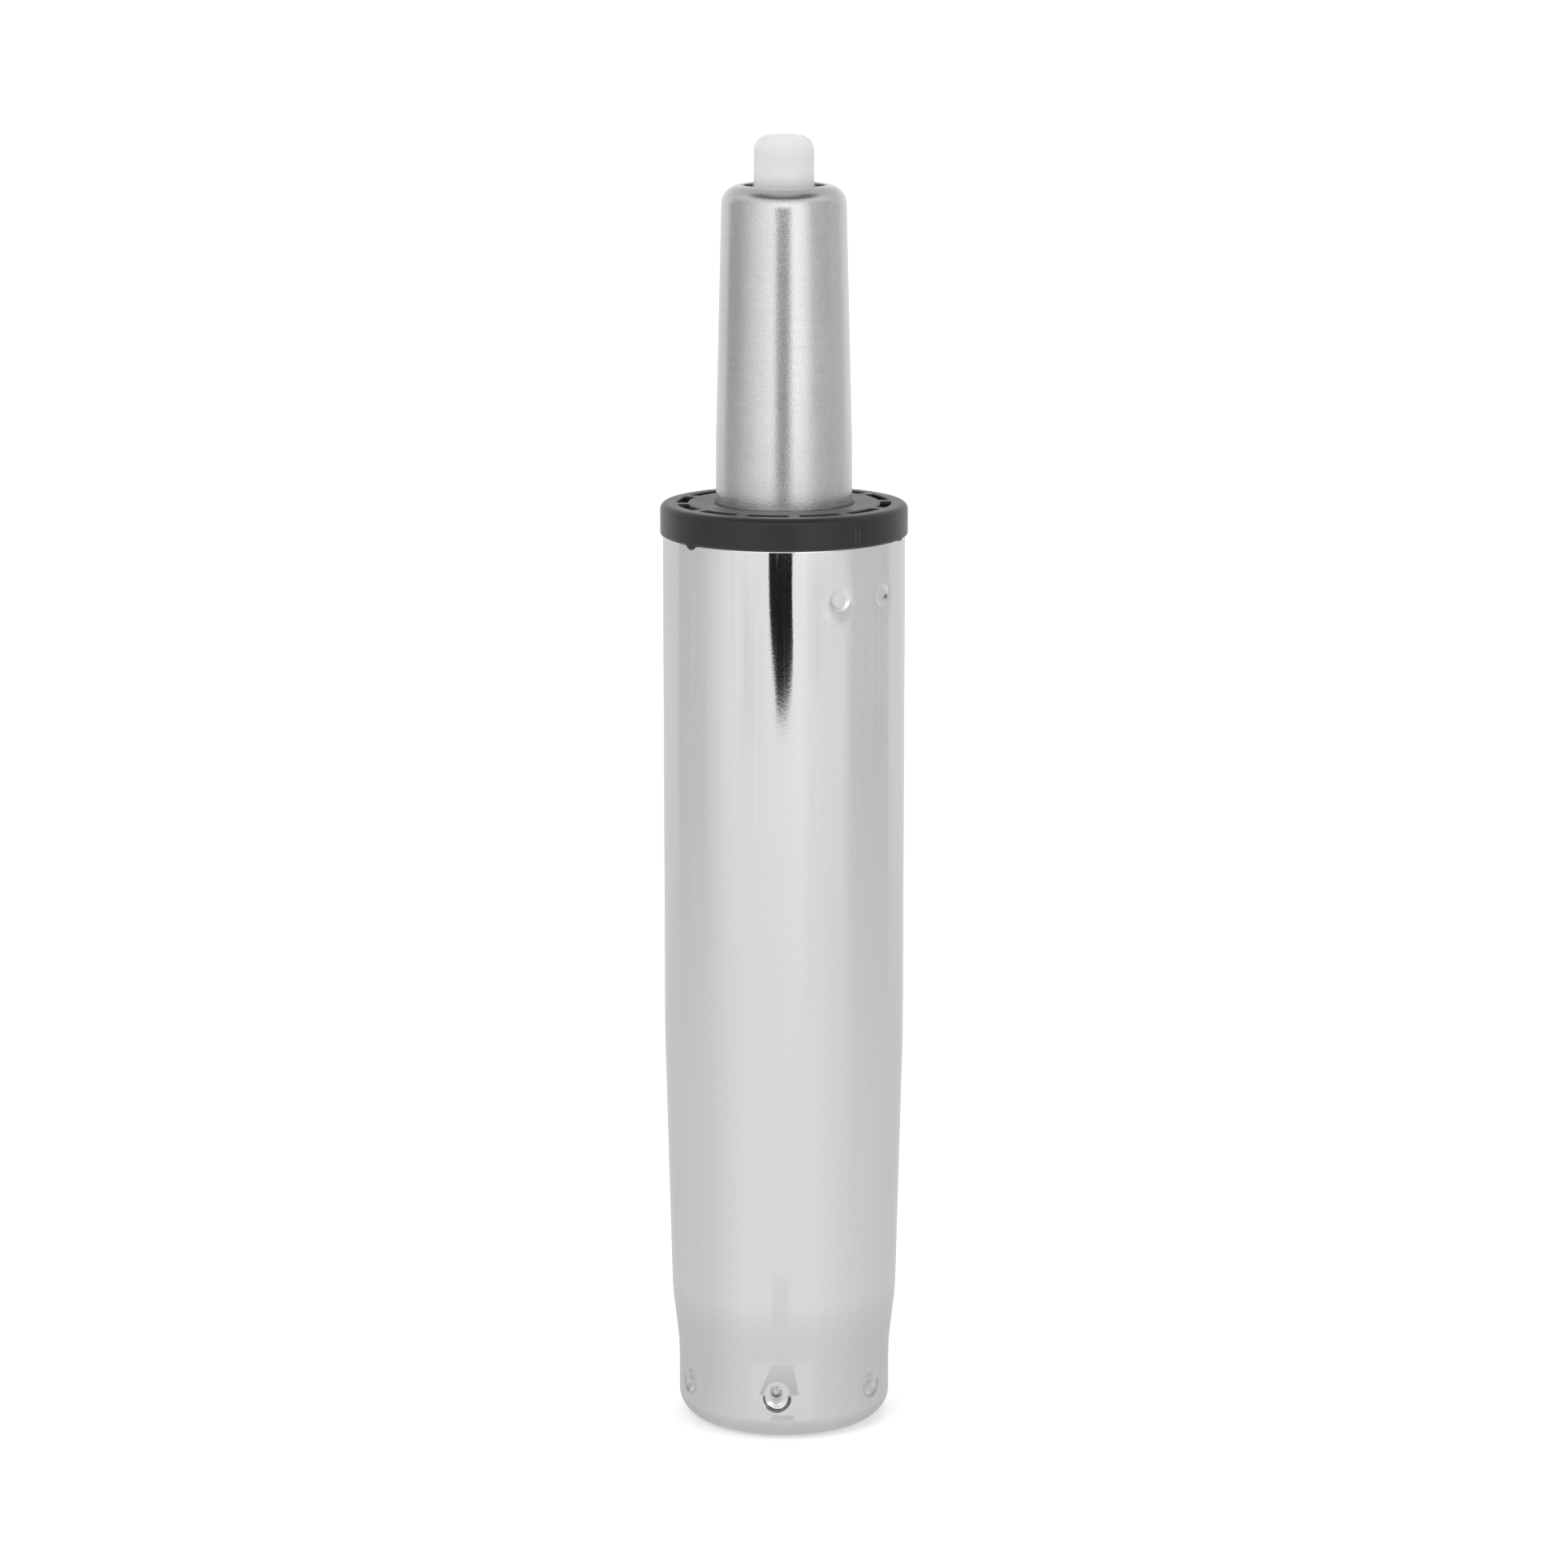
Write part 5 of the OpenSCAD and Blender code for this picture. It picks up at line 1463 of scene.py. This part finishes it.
class GASLIFT_OT_stage(bpy.types.Operator):
    """Floor, lights, cards and the camera at the photograph's angle"""
    bl_idname = "gaslift.stage"
    bl_label = "Stage"

    def execute(self, context):
        s = context.scene.gaslift_studio
        scene = context.scene
        self.floor()
        self.card("studio_flag", FLAG_EDGE, grey=0.012)
        self.card("studio_card", CARD_EDGE, grey=0.41)
        scene.world = studio_world(s.sky)
        self.lamp("key", (-0.9, -1.0, 1.3), size=1.0, power=9.0 * s.key)
        self.lamp("fill", (1.2, -0.7, 0.9), size=1.0, power=5.0 * s.key)
        self.lamp("top", (0.1, 0.5, 1.7), size=1.2, power=6.0 * s.key)
        camera = bpy.data.cameras.new("camera")
        camera.sensor_width, camera.lens = 36.0, s.lens
        camera.clip_start, camera.clip_end = 0.01, 100.0
        view = put("camera", camera)
        view.location = (0.0, -s.distance, s.height)
        view.rotation_euler = (math.pi / 2 - s.pitch, 0.0, 0.0)
        scene.camera = view
        scene.view_settings.view_transform = "Standard"
        return {"FINISHED"}

    def floor(self):
        """Large floor with a small light well that the foot covers, so that the underside is lit in views
        from below."""
        radii, n = (0.0156, 0.1, 1.0, 30.0), 64
        verts = [(radius * math.cos(turn), radius * math.sin(turn), 0.0)
                 for radius in radii for turn in even_turns(n)]
        faces = []
        for a in range(0, n * (len(radii) - 1), n):
            faces += [(a + k, a + n + k, a + n + (k + 1) % n, a + (k + 1) % n) for k in range(n)]
        mesh = plain_mesh("studio_floor", verts, faces)
        mesh.materials.append(floor_material())
        piece = put("studio_floor", mesh)

    def card(self, name, edge, grey):
        """Upright card in front, seen only in reflections."""
        mesh = plain_mesh(name, [(x * MM, CARD_Y * MM, z * MM) for x, z in edge], [tuple(range(len(edge)))])
        mesh.materials.append(card_material(name, grey))
        piece = put(name, mesh)
        piece.visible_camera = piece.visible_shadow = piece.visible_diffuse = False

    def lamp(self, name, spot, size, power):
        """Square soft lamp that faces the column and leaves no spot on the chrome."""
        data = bpy.data.lights.new(name, "AREA")
        data.shape, data.size, data.energy = "SQUARE", size, power
        lamp = put(name, data)
        lamp.location = spot
        lamp.rotation_euler = (Vector(spot) - Vector((0, 0, 0.14))).to_track_quat("Z", "Y").to_euler()
        lamp.visible_glossy = False


# Panel, registration and the run


STEPS = [GASLIFT_OT_stage, GASLIFT_OT_finishes, GASLIFT_OT_column_tube, GASLIFT_OT_guide_bush,
         GASLIFT_OT_stem, GASLIFT_OT_button, GASLIFT_OT_foot, GASLIFT_OT_bearing_balls,
         GASLIFT_OT_inner_parts]
SETTINGS = {
    "gaslift_column": GasLiftColumnSizes, "gaslift_bush": GasLiftBushSizes, "gaslift_stem": GasLiftStemSizes,
    "gaslift_button": GasLiftButtonSizes, "gaslift_foot": GasLiftFootSizes,
    "gaslift_bearing": GasLiftBearingSizes, "gaslift_colours": GasLiftColours,
    "gaslift_studio": GasLiftStudio,
}


class GASLIFT_PT_panel(bpy.types.Panel):
    """Lists the steps and the settings of the gas lift"""
    bl_idname = "GASLIFT_PT_panel"
    bl_label = "Gas Lift"
    bl_space_type = "VIEW_3D"
    bl_region_type = "UI"
    bl_category = "Gas Lift"

    def draw(self, context):
        for step in STEPS:
            self.layout.operator(step.bl_idname)
        for key, group in SETTINGS.items():
            box = self.layout.box()
            box.label(text=group.__doc__)
            for name in group.__annotations__:
                box.prop(getattr(context.scene, key), name)


def register():
    """Adds the settings, the steps and the panel."""
    for key, group in SETTINGS.items():
        bpy.utils.register_class(group)
        setattr(bpy.types.Scene, key, PointerProperty(type=group))
    for step in STEPS:
        bpy.utils.register_class(step)
    bpy.utils.register_class(GASLIFT_PT_panel)


def unregister():
    """Takes them out again."""
    bpy.utils.unregister_class(GASLIFT_PT_panel)
    for step in reversed(STEPS):
        bpy.utils.unregister_class(step)
    for key, group in reversed(SETTINGS.items()):
        delattr(bpy.types.Scene, key)
        bpy.utils.unregister_class(group)


def main():
    """Builds the whole scene."""
    register()
    bpy.ops.gaslift.stage()
    bpy.ops.gaslift.finishes()
    bpy.ops.gaslift.column_tube()
    bpy.ops.gaslift.guide_bush()
    bpy.ops.gaslift.stem()
    bpy.ops.gaslift.button()
    bpy.ops.gaslift.foot()
    bpy.ops.gaslift.bearing_balls()
    bpy.ops.gaslift.inner_parts()


if __name__ == "__main__":
    main()
